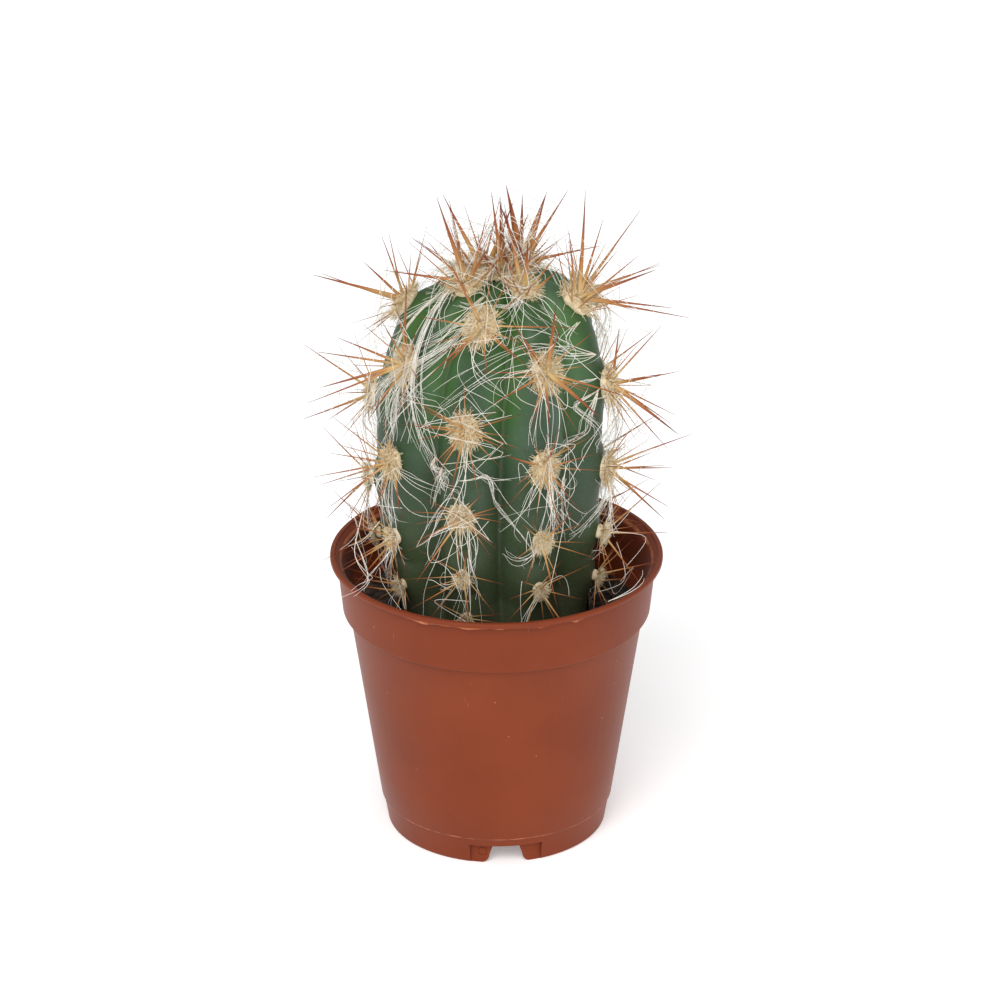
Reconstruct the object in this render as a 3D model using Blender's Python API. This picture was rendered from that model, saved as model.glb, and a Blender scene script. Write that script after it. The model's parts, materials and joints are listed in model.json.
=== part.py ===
# Potted oreocereus cactus in a 5.5 cm nursery pot: the moulded pot, the peat in it, and the grown plant.
# Lengths are in millimetres until a mesh is made, which scales them to metres.
# Origin: centre of the pot's foot, on the surface it stands on. +Z is up and the photographed front faces -Y.

import math
import random

import bmesh
import bpy
from mathutils import Matrix, Vector

MM = 0.001
GAP = 0.3

# Pot
POT_HEIGHT = 48.7
POT_SIDES = 64
POT_WALL = 0.9
LIP_RADIUS = 27.5
LIP_HEIGHT = 0.85
COLLAR_TOP_RADIUS = 26.4
COLLAR_FOOT_RADIUS = 25.5
COLLAR_FOOT_Z = 39.25
COLLAR_FOOT_ROUND = 0.3
BODY_TOP_RADIUS = 24.38
BODY_TOP_Z = 38.75
BODY_FOOT_RADIUS = 19.4
FOOT_RING_RADIUS = 18.35
FOOT_RING_Z = 5.0
FOOT_RING_STEP = 0.3
FOOT_RING_WALL = 1.3
EDGE_ROUND = 0.45
LIP_EDGE_ROUND = 0.3
LIP_WALL = 0.9
FLARE_Z = 46.4
FLOOR_UNDERSIDE_Z = 3.8
FLOOR_TOP_Z = 4.7
LEDGE_TOP_Z = 41.65
LEDGE_FOOT_Z = 40.15

# Notches, recessed panels and drain holes in the pot's foot
NOTCH_COUNT = 3
NOTCH_AZIMUTH = 5.0
NOTCH_TOP_WIDTH = 4.6
NOTCH_FOOT_WIDTH = 5.5
NOTCH_HEIGHT = 3.1
NOTCH_CORNER = 0.4
NOTCH_FOOT_ROUND = 1.5
NOTCH_DROP = 0.05
PANEL_ANGLE = 37.5
PANEL_HEIGHT = 3.5
PANEL_DEPTH = 0.35
PANEL_STEPS = 10
DRAIN_RADIUS = 1.8
DRAIN_RING_RADIUS = 13.5
DRAIN_SIDES = 16
CUTTER_REACH = 4.0

# Soil
SOIL_Z = 38.5
SOIL_SIDES = 40
SOIL_HEAP = 0.5
SOIL_ROUGHNESS = 0.25
SOIL_RINGS = (0.3, 0.65)
SOIL_CHAMFER = 1.0
SOIL_SEED = 21
HOLE_GAP = 0.4

# Stem
RIB_ANGLES = (-53.0, -13.0, 25.5, 73.0, 118.0, 163.0, 210.0, 261.0)
RIB_COUNT = len(RIB_ANGLES)
STEM_TOP_Z = 98.4
STEM_WIDEST_Z = 70.0
STEM_RADIUS = 18.7
STEM_SOIL_RADIUS = 15.3
STEM_ROOT_Z = 28.0
DOME_POWER = 2.7
ROOT_POWER = 3.0
RIB_DEPTH = 3.3
RIB_FULL_ARC = 12.0
RIB_FADE_Z = 46.0
SEGMENTS_PER_RIB = 6
STEM_ROWS = 24
ROOT_ROWS = 3
MERIDIAN_SAMPLES = 400
LEAN_LEAST = -1.2
LEAN_CURVE = 0.0018
LEAN_Z = 60.0
TUBERCLE_RISE = 0.8
TUBERCLE_LENGTH = 3.2

# Areoles: each follows the last by 3 ribs, and their spacing is widest at the WIDEST_STEP one
AREOLE_COUNT = 42
AREOLE_PHASE = 6
RIBS_PER_AREOLE = 3
WIDEST_STEP = 13
STEP_LENGTH = 1.97
STEP_NARROWING = 0.0026
LEAST_STEP = 1.0
RIB_LEADS = (-4.5, -1.6, 0.6, 1.6, -0.8, 1.2, -1.5, -4.0)
LEAD_ENDS_AT = 34
LOWEST_AREOLE_Z = 42.5
TOPMOST_ARC = 0.6
PAD_WIDTH_TOP = 4.4
PAD_WIDTH_UPPER = 5.6
PAD_WIDTH_LOW = 3.0
PAD_UPPER_INDEX = 9
PAD_STRETCH = 1.2
PAD_THICKNESS = 1.6
PAD_SINK = 0.1
PAD_SIDES = 7
PAD_ROWS = 4

# Spines
SPINE_SEED = 5200
RADIAL_COUNT = 7
RADIAL_LENGTH = (7.0, 10.5)
RADIAL_LENGTH_AT_FOOT = 0.8
RADIAL_RISE = (18.0, 36.0)
RADIAL_PLACE = 0.8
RADIAL_SWAY = 9.0
CENTRAL_LENGTH_TOP = (12.0, 16.5)
CENTRAL_LENGTH_LOW = (7.5, 10.5)
CENTRAL_RISE = (36.0, 66.0)
CENTRAL_PLACE = 0.34
CENTRAL_SWAY = 35.0
CENTRAL_COUNTS = (2, 3, 3)
CROWN_CENTRALS = 2
CROWN_INDEX = 9
YOUNG_INDEX = 6
YOUNG_RADIAL = 0.6
CROWN_LIFT = 0.6
RADIAL_ROOT = 0.36
CENTRAL_ROOT = 0.55
SPINE_SINK = 1.0
SPINE_SIDES = 3
PLANT_SPREAD = 31.5
PLANT_TOP_Z = 115.0
TIPS_Z = 113.6
TIPS_FALL = 0.46
TIPS_BEFORE_Y = -2.0
CROWN_TIPS_Z = 107.0
CROWN_TIPS_SHARE = (0.72, 0.94)
CROWN_TIPS_SEED = 901
SPINE_CLEARANCE = 0.8
CLEAR_STEPS = 8
TURN_UP = 0.1
MOST_TURN_UPS = 20


def clear_scene():
    for item in list(bpy.data.objects):
        bpy.data.objects.remove(item, do_unlink=True)


def make_material(name, colour, roughness):
    material = bpy.data.materials.new(name)
    material.use_nodes = True
    shader = material.node_tree.nodes["Principled BSDF"]
    shader.inputs["Base Color"].default_value = (*colour, 1.0)
    shader.inputs["Roughness"].default_value = roughness
    shader.inputs["Metallic"].default_value = 0.0
    return material


def add_object(name, bm, material=None, collection=None):
    # Turns a bmesh in millimetres into an object in metres.
    bmesh.ops.scale(bm, vec=(MM, MM, MM), verts=bm.verts)
    mesh = bpy.data.meshes.new(name)
    bm.to_mesh(mesh)
    bm.free()
    item = bpy.data.objects.new(name, mesh)
    (collection or bpy.context.scene.collection).objects.link(item)
    if material:
        mesh.materials.append(material)
    return item


def lerp(low, high, share):
    return low + (high - low) * share


def quarter_round(centre_r, centre_z, radius, start, end, steps=3):
    # Points of an arc in the (radius, height) plane, with its angles in degrees.
    angles = [math.radians(lerp(start, end, i / steps)) for i in range(steps + 1)]
    return [(centre_r + radius * math.cos(a), centre_z + radius * math.sin(a)) for a in angles]


def turned(profile, sides):
    # Spins a profile that starts and ends on the axis into one closed body.
    bm = bmesh.new()
    verts = [bm.verts.new((r, 0.0, z)) for r, z in profile]
    edges = [bm.edges.new(pair) for pair in zip(verts, verts[1:])]
    around = {"cent": (0, 0, 0), "axis": (0, 0, 1), "angle": math.tau, "steps": sides}
    bmesh.ops.spin(bm, geom=verts + edges, use_merge=True, **around)
    bmesh.ops.remove_doubles(bm, verts=bm.verts, dist=1e-4)
    bmesh.ops.recalc_face_normals(bm, faces=bm.faces)
    return bm


def bridge_rings(bm, rings):
    # Joins rings of equally many vertices with quads.
    for upper, lower in zip(rings, rings[1:]):
        for i in range(len(upper)):
            k = (i + 1) % len(upper)
            bm.faces.new((upper[i], lower[i], lower[k], upper[k]))


def cap_ring(bm, ring, point):
    # Closes a ring with triangles to one point.
    pole = bm.verts.new(point)
    for i in range(len(ring)):
        bm.faces.new((pole, ring[i], ring[(i + 1) % len(ring)]))


# Pot

def body_radius(z):
    return lerp(BODY_FOOT_RADIUS, BODY_TOP_RADIUS, (z - FOOT_RING_Z) / (BODY_TOP_Z - FOOT_RING_Z))


def inner_radius(z):
    # Radius of the pot's inside wall at a height.
    if z >= LEDGE_TOP_Z:
        share = (z - COLLAR_FOOT_Z) / (POT_HEIGHT - COLLAR_FOOT_Z)
        straight = lerp(COLLAR_FOOT_RADIUS, COLLAR_TOP_RADIUS, share) - POT_WALL
        flare = max(0.0, (z - FLARE_Z) / (POT_HEIGHT - FLARE_Z)) ** 2
        return straight + flare * (LIP_RADIUS - LIP_WALL - COLLAR_TOP_RADIUS + POT_WALL)
    if z >= LEDGE_FOOT_Z:
        share = (z - LEDGE_FOOT_Z) / (LEDGE_TOP_Z - LEDGE_FOOT_Z)
        return lerp(body_radius(LEDGE_FOOT_Z), inner_radius(LEDGE_TOP_Z) + POT_WALL, share) - POT_WALL
    return body_radius(z) - POT_WALL


def pot_profile():
    # Half section: under the floor, round the foot ring, up the outside, over the lip and down the inside.
    under_lip = POT_HEIGHT - LIP_HEIGHT
    ring_inner = FOOT_RING_RADIUS - FOOT_RING_WALL
    rim_inner = inner_radius(POT_HEIGHT)
    profile = [(0.0, FLOOR_UNDERSIDE_Z), (ring_inner + EDGE_ROUND, FLOOR_UNDERSIDE_Z), (ring_inner, 0.0)]
    profile += quarter_round(FOOT_RING_RADIUS - EDGE_ROUND, EDGE_ROUND, EDGE_ROUND, -90, 0)
    profile += [(BODY_FOOT_RADIUS - FOOT_RING_STEP, FOOT_RING_Z - FOOT_RING_STEP)]
    profile += [(BODY_FOOT_RADIUS, FOOT_RING_Z), (BODY_TOP_RADIUS, BODY_TOP_Z)]
    foot_centre = COLLAR_FOOT_RADIUS - COLLAR_FOOT_ROUND
    profile += quarter_round(foot_centre, COLLAR_FOOT_Z, COLLAR_FOOT_ROUND, -90, 0)
    profile += [(COLLAR_TOP_RADIUS, under_lip)]
    lip_centre = LIP_RADIUS - LIP_EDGE_ROUND
    profile += quarter_round(lip_centre, under_lip + LIP_EDGE_ROUND, LIP_EDGE_ROUND, -90, 0, 2)
    profile += quarter_round(lip_centre, POT_HEIGHT - LIP_EDGE_ROUND, LIP_EDGE_ROUND, 0, 90)
    profile += [(rim_inner + LIP_EDGE_ROUND, POT_HEIGHT), (rim_inner, POT_HEIGHT - LIP_EDGE_ROUND)]
    profile += [(inner_radius(z), z) for z in (lerp(FLARE_Z, POT_HEIGHT, 0.5), FLARE_Z)]
    profile += [(inner_radius(LEDGE_TOP_Z), LEDGE_TOP_Z), (inner_radius(LEDGE_FOOT_Z), LEDGE_FOOT_Z)]
    profile += [(inner_radius(FLOOR_TOP_Z + EDGE_ROUND), FLOOR_TOP_Z + EDGE_ROUND)]
    profile += [(inner_radius(FLOOR_TOP_Z) - EDGE_ROUND, FLOOR_TOP_Z), (0.0, FLOOR_TOP_Z)]
    return profile


def notch_outline():
    # Upright outline, open below the foot: the tabs beside the notch have rounded feet.
    top = NOTCH_HEIGHT - NOTCH_CORNER
    foot = NOTCH_FOOT_WIDTH / 2 + NOTCH_FOOT_ROUND
    right = [(foot, -CUTTER_REACH)]
    right += quarter_round(foot, NOTCH_FOOT_ROUND - NOTCH_DROP, NOTCH_FOOT_ROUND, 270, 180, 4)
    right += quarter_round(NOTCH_TOP_WIDTH / 2 - NOTCH_CORNER, top, NOTCH_CORNER, 0, 90, 2)
    return right + [(-x, z) for x, z in reversed(right)]


def notch_cutter(name, azimuth, collection):
    # A prism that runs outwards through the foot ring, at an azimuth from the front.
    near = FOOT_RING_RADIUS - CUTTER_REACH
    bm = bmesh.new()
    face = bm.faces.new([bm.verts.new((x, -near, z)) for x, z in notch_outline()])
    grown = bmesh.ops.extrude_face_region(bm, geom=[face])
    moved = [v for v in grown["geom"] if isinstance(v, bmesh.types.BMVert)]
    bmesh.ops.translate(bm, vec=(0, -2 * CUTTER_REACH, 0), verts=moved)
    turn = Matrix.Rotation(math.radians(azimuth), 3, "Z")
    bmesh.ops.rotate(bm, cent=(0, 0, 0), matrix=turn, verts=bm.verts)
    bmesh.ops.recalc_face_normals(bm, faces=bm.faces)
    return hide_cutter(add_object(name, bm, collection=collection))


def panel_cutter(name, azimuth, collection):
    # A sector of a ring that takes the panel's depth off the foot ring's outside.
    near, far = FOOT_RING_RADIUS - PANEL_DEPTH, FOOT_RING_RADIUS + CUTTER_REACH
    corners = ((near, -CUTTER_REACH), (far, -CUTTER_REACH), (far, PANEL_HEIGHT), (near, PANEL_HEIGHT))
    bm = bmesh.new()
    face = bm.faces.new([bm.verts.new((0.0, -r, z)) for r, z in corners])
    sweep = {"cent": (0, 0, 0), "axis": (0, 0, 1), "angle": math.radians(PANEL_ANGLE), "steps": PANEL_STEPS}
    bmesh.ops.spin(bm, geom=[face], **sweep)
    turn = Matrix.Rotation(math.radians(azimuth - PANEL_ANGLE / 2), 3, "Z")
    bmesh.ops.rotate(bm, cent=(0, 0, 0), matrix=turn, verts=bm.verts)
    bmesh.ops.recalc_face_normals(bm, faces=bm.faces)
    return hide_cutter(add_object(name, bm, collection=collection))


def drain_cutter(name, azimuth, collection):
    bm = bmesh.new()
    place = Matrix.Translation((0, -DRAIN_RING_RADIUS, FLOOR_TOP_Z))
    place = Matrix.Rotation(math.radians(azimuth), 4, "Z") @ place
    size = {"radius1": DRAIN_RADIUS, "radius2": DRAIN_RADIUS, "depth": CUTTER_REACH}
    bmesh.ops.create_cone(bm, cap_ends=True, segments=DRAIN_SIDES, matrix=place, **size)
    return hide_cutter(add_object(name, bm, collection=collection))


def hide_cutter(cutter):
    cutter.hide_render = True
    cutter.display_type = "WIRE"
    return cutter


def make_pot(material):
    pot = add_object("pot", turned(pot_profile(), POT_SIDES), material)
    cutters = bpy.data.collections.new("pot_cutters")
    bpy.context.scene.collection.children.link(cutters)
    for i in range(NOTCH_COUNT):
        azimuth = NOTCH_AZIMUTH + i * 360 / NOTCH_COUNT
        notch_cutter(f"notch_cutter_{i}", azimuth, cutters)
        panel_cutter(f"panel_cutter_{i}", azimuth, cutters)
        drain_cutter(f"drain_cutter_{i}", azimuth, cutters)
    cut = pot.modifiers.new("foot_openings", "BOOLEAN")
    cut.operation = "DIFFERENCE"
    cut.operand_type = "COLLECTION"
    cut.collection = cutters
    cut.solver = "EXACT"
    pot.data.shade_smooth()
    pot.data.set_sharp_from_angle(angle=math.radians(30))
    return pot


# Stem

def lean(z):
    # Sideways place of the stem's axis: it bows a little left at the middle and right at the top.
    return LEAN_LEAST + LEAN_CURVE * (max(z, SOIL_Z) - LEAN_Z) ** 2


def stem_radius(z):
    # Radius at the ribs' crests, from the dome's top to the hidden end below the soil.
    if z >= STEM_WIDEST_Z:
        share = (z - STEM_WIDEST_Z) / (STEM_TOP_Z - STEM_WIDEST_Z)
        return STEM_RADIUS * max(0.0, 1 - share ** DOME_POWER) ** (1 / DOME_POWER)
    if z >= SOIL_Z:
        share = (STEM_WIDEST_Z - z) / (STEM_WIDEST_Z - SOIL_Z)
        return lerp(STEM_RADIUS, STEM_SOIL_RADIUS, share ** 2)
    share = (SOIL_Z - z) / (SOIL_Z - STEM_ROOT_Z)
    return STEM_SOIL_RADIUS * math.sqrt(max(0.0, 1 - share ** ROOT_POWER))


def stem_meridian():
    # The crest line from the top down to the soil, as (arc length, radius, height).
    points = []
    for i in range(MERIDIAN_SAMPLES + 1):
        turn = math.pi / 2 * (1 - i / MERIDIAN_SAMPLES)
        r = STEM_RADIUS * max(0.0, math.cos(turn)) ** (2 / DOME_POWER)
        z = STEM_WIDEST_Z + (STEM_TOP_Z - STEM_WIDEST_Z) * math.sin(turn) ** (2 / DOME_POWER)
        points.append((r, z))
    for i in range(1, MERIDIAN_SAMPLES + 1):
        z = lerp(STEM_WIDEST_Z, SOIL_Z, i / MERIDIAN_SAMPLES)
        points.append((stem_radius(z), z))
    line = [(0.0, *points[0])]
    for (r0, z0), (r1, z1) in zip(points, points[1:]):
        line.append((line[-1][0] + math.hypot(r1 - r0, z1 - z0), r1, z1))
    return line


MERIDIAN = stem_meridian()
STEM_ARC = MERIDIAN[-1][0]


def crest_at(arc):
    # Radius, height and outward slope angle of the crest line at an arc length from the top.
    arc = min(max(arc, 0.0), STEM_ARC - 1e-6)
    after = next(i for i, row in enumerate(MERIDIAN) if row[0] > arc)
    low, high = MERIDIAN[after - 1], MERIDIAN[after]
    share = (arc - low[0]) / (high[0] - low[0])
    slope = math.atan2(high[1] - low[1], low[2] - high[2])
    return lerp(low[1], high[1], share), lerp(low[2], high[2], share), slope


def areole_arcs():
    # Arc length, rib and index of each areole, from the youngest at the top.
    arcs = []
    arc = 0.0
    for index in range(AREOLE_COUNT):
        rib = RIBS_PER_AREOLE * (index - AREOLE_PHASE) % RIB_COUNT
        lead = RIB_LEADS[rib] * max(0.0, 1 - index / LEAD_ENDS_AT) * min(1.0, index / RIB_COUNT)
        place = max(TOPMOST_ARC, arc + lead)
        if crest_at(place)[1] >= LOWEST_AREOLE_Z:
            arcs.append((place, rib, index))
        arc += max(LEAST_STEP, STEP_LENGTH - STEP_NARROWING * (index - WIDEST_STEP) ** 2)
    return arcs


AREOLES = areole_arcs()


def rib_angle(rib):
    return math.radians(RIB_ANGLES[rib])


def nearest_rib(angle):
    # The rib that an angle lies on, and its distance from the crest as a share of the way to the groove.
    turns = [(angle - rib_angle(rib) + math.pi) % math.tau - math.pi for rib in range(RIB_COUNT)]
    rib = min(range(RIB_COUNT), key=lambda i: abs(turns[i]))
    beside = (rib + (1 if turns[rib] > 0 else -1)) % RIB_COUNT
    half = abs((rib_angle(beside) - rib_angle(rib) + math.pi) % math.tau - math.pi) / 2
    return rib, abs(turns[rib]) / half


def stem_angles():
    # Angles of the stem mesh's columns: each crest, each groove and even steps between them.
    angles = []
    for rib in range(RIB_COUNT):
        step = (RIB_ANGLES[(rib + 1) % RIB_COUNT] - RIB_ANGLES[rib]) % 360 / SEGMENTS_PER_RIB
        angles += [math.radians(RIB_ANGLES[rib] + step * i) for i in range(SEGMENTS_PER_RIB)]
    return angles


def stem_point(angle, arc):
    # A point of the stem's skin above the soil.
    crest, z, slope = crest_at(arc)
    rib, across = nearest_rib(angle)
    depth = RIB_DEPTH * min(1.0, arc / RIB_FULL_ARC)
    depth *= min(1.0, max(0.0, (z - SOIL_Z) / (RIB_FADE_Z - SOIL_Z)))
    groove = depth * across * across
    rise = 0.0
    for place, areole_rib, index in AREOLES:
        if areole_rib == rib and index >= CROWN_INDEX:
            rise = max(rise, math.exp(-(((arc - place) / TUBERCLE_LENGTH) ** 2)))
    swell = TUBERCLE_RISE * rise * (1 - across * across) ** 2 - groove
    r = crest + swell * math.cos(slope)
    z += swell * math.sin(slope)
    return Vector((lean(z) + r * math.sin(angle), -r * math.cos(angle), z))


def root_row_z(row):
    # Heights of the rows below the soil, closer together towards the rounded end.
    return lerp(SOIL_Z, STEM_ROOT_Z, math.sin(math.pi / 2 * row / (ROOT_ROWS + 0.5)))


def outward(angle, slope):
    return Vector((math.sin(angle) * math.cos(slope), -math.cos(angle) * math.cos(slope), math.sin(slope)))


def stem_mesh():
    bm = bmesh.new()
    angles = stem_angles()
    rings = []
    for row in range(1, STEM_ROWS + 1):
        arc = STEM_ARC * row / STEM_ROWS
        rings.append([bm.verts.new(stem_point(angle, arc)) for angle in angles])
    for row in range(1, ROOT_ROWS + 1):
        z = root_row_z(row)
        r = stem_radius(z)
        ring = [(lean(z) + r * math.sin(a), -r * math.cos(a), z) for a in angles]
        rings.append([bm.verts.new(point) for point in ring])
    bridge_rings(bm, rings)
    cap_ring(bm, rings[0], (lean(STEM_TOP_Z), 0.0, STEM_TOP_Z))
    cap_ring(bm, rings[-1], (lean(STEM_ROOT_Z), 0.0, STEM_ROOT_Z))
    bmesh.ops.recalc_face_normals(bm, faces=bm.faces)
    return bm


# Areole pads and spines

def pad_width(index):
    if index < PAD_UPPER_INDEX:
        return lerp(PAD_WIDTH_TOP, PAD_WIDTH_UPPER, index / PAD_UPPER_INDEX)
    share = (index - PAD_UPPER_INDEX) / (AREOLE_COUNT - PAD_UPPER_INDEX)
    return lerp(PAD_WIDTH_UPPER, PAD_WIDTH_LOW, share)


def areole_frame(arc, rib):
    # Origin on the skin, with the columns across, up the rib and outwards.
    angle = rib_angle(rib)
    slope = crest_at(arc)[2]
    normal = outward(angle, slope)
    across = Vector((math.cos(angle), math.sin(angle), 0.0))
    up = normal.cross(across)
    frame = Matrix((across, up, normal)).transposed().to_4x4()
    frame.translation = stem_point(angle, arc)
    return frame


def add_pad(frame, index, collection):
    bm = bmesh.new()
    half = pad_width(index) / 2
    bmesh.ops.create_uvsphere(bm, u_segments=PAD_SIDES, v_segments=PAD_ROWS, radius=1.0)
    bmesh.ops.scale(bm, vec=(half, half * PAD_STRETCH, PAD_THICKNESS), verts=bm.verts)
    bmesh.ops.translate(bm, vec=(0, 0, -PAD_SINK), verts=bm.verts)
    bmesh.ops.transform(bm, matrix=frame, verts=bm.verts)
    add_object(f"pad_{index}", bm, collection=collection)


def spine_is_clear(root, direction, length):
    # True when a spine keeps off the pot's wall and lip and off the soil.
    for step in range(1, CLEAR_STEPS + 1):
        point = root + direction * (length * step / CLEAR_STEPS)
        wall = inner_radius(min(point.z, POT_HEIGHT)) - SPINE_CLEARANCE
        beside_pot = point.z < POT_HEIGHT + SPINE_CLEARANCE
        if point.z < SOIL_Z + SOIL_HEAP + SPINE_CLEARANCE:
            return False
        if beside_pot and math.hypot(point.x, point.y) > wall:
            return False
    return True


def clear_direction(root, direction, length):
    # Turns a spine upwards in small steps until it is clear of the pot and the soil.
    for _ in range(MOST_TURN_UPS):
        if spine_is_clear(root, direction, length):
            return direction
        direction = (direction + Vector((0, 0, TURN_UP))).normalized()
    return None


def trimmed_length(root, direction, length):
    # Shortens a spine that would pass the plant's spread or its top, which falls towards the back.
    for axis, limit in ((0, PLANT_SPREAD), (1, PLANT_SPREAD), (2, PLANT_TOP_Z)):
        end = root[axis] + direction[axis] * length
        if abs(end) > limit:
            length = (math.copysign(limit, end) - root[axis]) / direction[axis]
    climb = direction.z + TIPS_FALL * direction.y
    if climb > 0:
        length = min(length, (TIPS_Z - root.z - TIPS_FALL * root.y) / climb)
    return length


def spine_plan(index, rng):
    # Each spine of an areole: turn about the pad, rise from the skin, length, root radius, place on the pad.
    plan = []
    age = index / AREOLE_COUNT
    crown = index < CROWN_INDEX
    grown = YOUNG_RADIAL if index < YOUNG_INDEX else 1.0
    start = rng.uniform(0, 360 / RADIAL_COUNT)
    for i in range(RADIAL_COUNT):
        turn = start + i * 360 / RADIAL_COUNT + rng.uniform(-RADIAL_SWAY, RADIAL_SWAY)
        length = rng.uniform(*RADIAL_LENGTH) * lerp(1.0, RADIAL_LENGTH_AT_FOOT, age) * grown
        plan.append((turn, rng.uniform(*RADIAL_RISE), length, RADIAL_ROOT, RADIAL_PLACE))
    centrals = CROWN_CENTRALS if crown else rng.choice(CENTRAL_COUNTS)
    for i in range(centrals):
        turn = 90 + i * 360 / centrals + rng.uniform(-CENTRAL_SWAY, CENTRAL_SWAY)
        shortest = lerp(CENTRAL_LENGTH_TOP[0], CENTRAL_LENGTH_LOW[0], age)
        longest = lerp(CENTRAL_LENGTH_TOP[1], CENTRAL_LENGTH_LOW[1], age)
        length = rng.uniform(shortest, longest)
        plan.append((turn, rng.uniform(*CENTRAL_RISE), length, CENTRAL_ROOT, CENTRAL_PLACE))
    return plan


def add_spine(name, root, direction, length, radius, collection):
    bm = bmesh.new()
    size = {"radius1": radius, "radius2": 0.0, "depth": length + SPINE_SINK}
    bmesh.ops.create_cone(bm, cap_ends=True, segments=SPINE_SIDES, **size)
    bmesh.ops.translate(bm, vec=(0, 0, (length - SPINE_SINK) / 2), verts=bm.verts)
    turn = direction.to_track_quat("Z", "Y").to_matrix()
    bmesh.ops.rotate(bm, cent=(0, 0, 0), matrix=turn, verts=bm.verts)
    bmesh.ops.translate(bm, vec=root, verts=bm.verts)
    add_object(name, bm, collection=collection)


def areole_spines(frame, index):
    # The spines of one areole, as [root, direction, length, root radius].
    rng = random.Random(SPINE_SEED + index)
    half = pad_width(index) / 2
    turn_frame = frame.to_3x3()
    lift = Vector((0, 0, CROWN_LIFT if index < CROWN_INDEX else 0.0))
    spines = []
    for turn, rise, length, radius, place in spine_plan(index, rng):
        turn, rise = math.radians(turn), math.radians(rise)
        foot = Vector((math.cos(turn) * half * place, math.sin(turn) * half * place * PAD_STRETCH, 0.0))
        foot.z = PAD_THICKNESS * math.sqrt(1 - place * place) - PAD_SINK
        local = Vector((math.cos(turn) * math.cos(rise), math.sin(turn) * math.cos(rise), math.sin(rise)))
        root = frame @ foot
        direction = clear_direction(root, (turn_frame @ local + lift).normalized(), length)
        if direction:
            spines.append([root, direction, trimmed_length(root, direction, length), radius])
    return spines


def even_spread(spines):
    # The widest spine on each of the plant's four sides grows to the same spread, and the highest tip in
    # front of the axis to the plant's height.
    for axis in (0, 1):
        for side in (-1, 1):
            widest = max(spines, key=lambda spine: side * (spine[0][axis] + spine[1][axis] * spine[2]))
            widest[2] = (side * PLANT_SPREAD - widest[0][axis]) / widest[1][axis]
    in_front = [spine for spine in spines if spine[0].y + spine[1].y * spine[2] < TIPS_BEFORE_Y]
    highest = max(in_front, key=lambda spine: spine[0].z + spine[1].z * spine[2])
    highest[2] = (PLANT_TOP_Z - highest[0].z) / highest[1].z


def lower_crown(spines):
    # Only the highest tip keeps the plant's full height.
    rng = random.Random(CROWN_TIPS_SEED)
    highest = max(spines, key=lambda spine: spine[0].z + spine[1].z * spine[2])
    for spine in spines:
        if spine is not highest and spine[0].z + spine[1].z * spine[2] > CROWN_TIPS_Z:
            spine[2] *= rng.uniform(*CROWN_TIPS_SHARE)


def make_cactus(material):
    cactus = add_object("cactus", stem_mesh(), material)
    repeats = bpy.data.collections.new("pads_and_spines")
    bpy.context.scene.collection.children.link(repeats)
    spines = []
    for arc, rib, index in AREOLES:
        frame = areole_frame(arc, rib)
        add_pad(frame, index, repeats)
        spines += areole_spines(frame, index)
    even_spread(spines)
    lower_crown(spines)
    for number, (root, direction, length, radius) in enumerate(spines):
        add_spine(f"spine_{number}", root, direction, length, radius, repeats)
    join = cactus.modifiers.new("join_repeats", "BOOLEAN")
    join.operation = "UNION"
    join.operand_type = "COLLECTION"
    join.collection = repeats
    join.solver = "EXACT"
    apply_modifiers(cactus)
    for item in list(repeats.objects):
        bpy.data.objects.remove(item, do_unlink=True)
    bpy.data.collections.remove(repeats)
    cactus.data.shade_smooth()
    cactus.data.set_sharp_from_angle(angle=math.radians(40))
    return cactus


def apply_modifiers(item):
    bpy.context.view_layer.update()
    evaluated = item.evaluated_get(bpy.context.evaluated_depsgraph_get())
    joined = bpy.data.meshes.new_from_object(evaluated)
    item.modifiers.clear()
    item.data = joined


# Soil

def hole_profile():
    # The blind hole that the stem stands in, from its lip down, as (radius, height).
    profile = [(STEM_SOIL_RADIUS + HOLE_GAP, SOIL_Z)]
    for row in range(1, ROOT_ROWS + 1):
        z = root_row_z(row)
        profile.append((stem_radius(z) + HOLE_GAP, z - GAP))
    return profile


def soil_ring(bm, rng, r, z, x=0.0, rough=0.0):
    points = []
    for i in range(SOIL_SIDES):
        angle = math.tau * i / SOIL_SIDES
        lift = rng.uniform(-rough, rough)
        points.append(bm.verts.new((x + r * math.sin(angle), -r * math.cos(angle), z + lift)))
    return points


def make_soil(material):
    # A filled cup shape: heaped rough top, plain side, flat underside and the hole for the stem.
    rng = random.Random(SOIL_SEED)
    stem_x = lean(SOIL_Z)
    floor_z = FLOOR_TOP_Z + GAP
    edge_z = SOIL_Z - SOIL_HEAP / 2
    wall_r = inner_radius(SOIL_Z) - GAP
    hole = hole_profile()
    bm = bmesh.new()
    rings = [soil_ring(bm, rng, r, z, stem_x) for r, z in reversed(hole)]
    for share in SOIL_RINGS:
        r = lerp(hole[0][0], wall_r, share)
        z = edge_z + SOIL_HEAP * (1 - share)
        rings.append(soil_ring(bm, rng, r, z, lerp(stem_x, 0.0, share), SOIL_ROUGHNESS))
    rings.append(soil_ring(bm, rng, wall_r, edge_z))
    rings.append(soil_ring(bm, rng, inner_radius(floor_z + SOIL_CHAMFER) - GAP, floor_z + SOIL_CHAMFER))
    rings.append(soil_ring(bm, rng, inner_radius(floor_z) - GAP - SOIL_CHAMFER, floor_z))
    bridge_rings(bm, rings)
    cap_ring(bm, rings[0], (stem_x, 0.0, STEM_ROOT_Z - HOLE_GAP))
    cap_ring(bm, rings[-1], (0.0, 0.0, floor_z))
    bmesh.ops.recalc_face_normals(bm, faces=bm.faces)
    return add_object("soil", bm, material)


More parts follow.
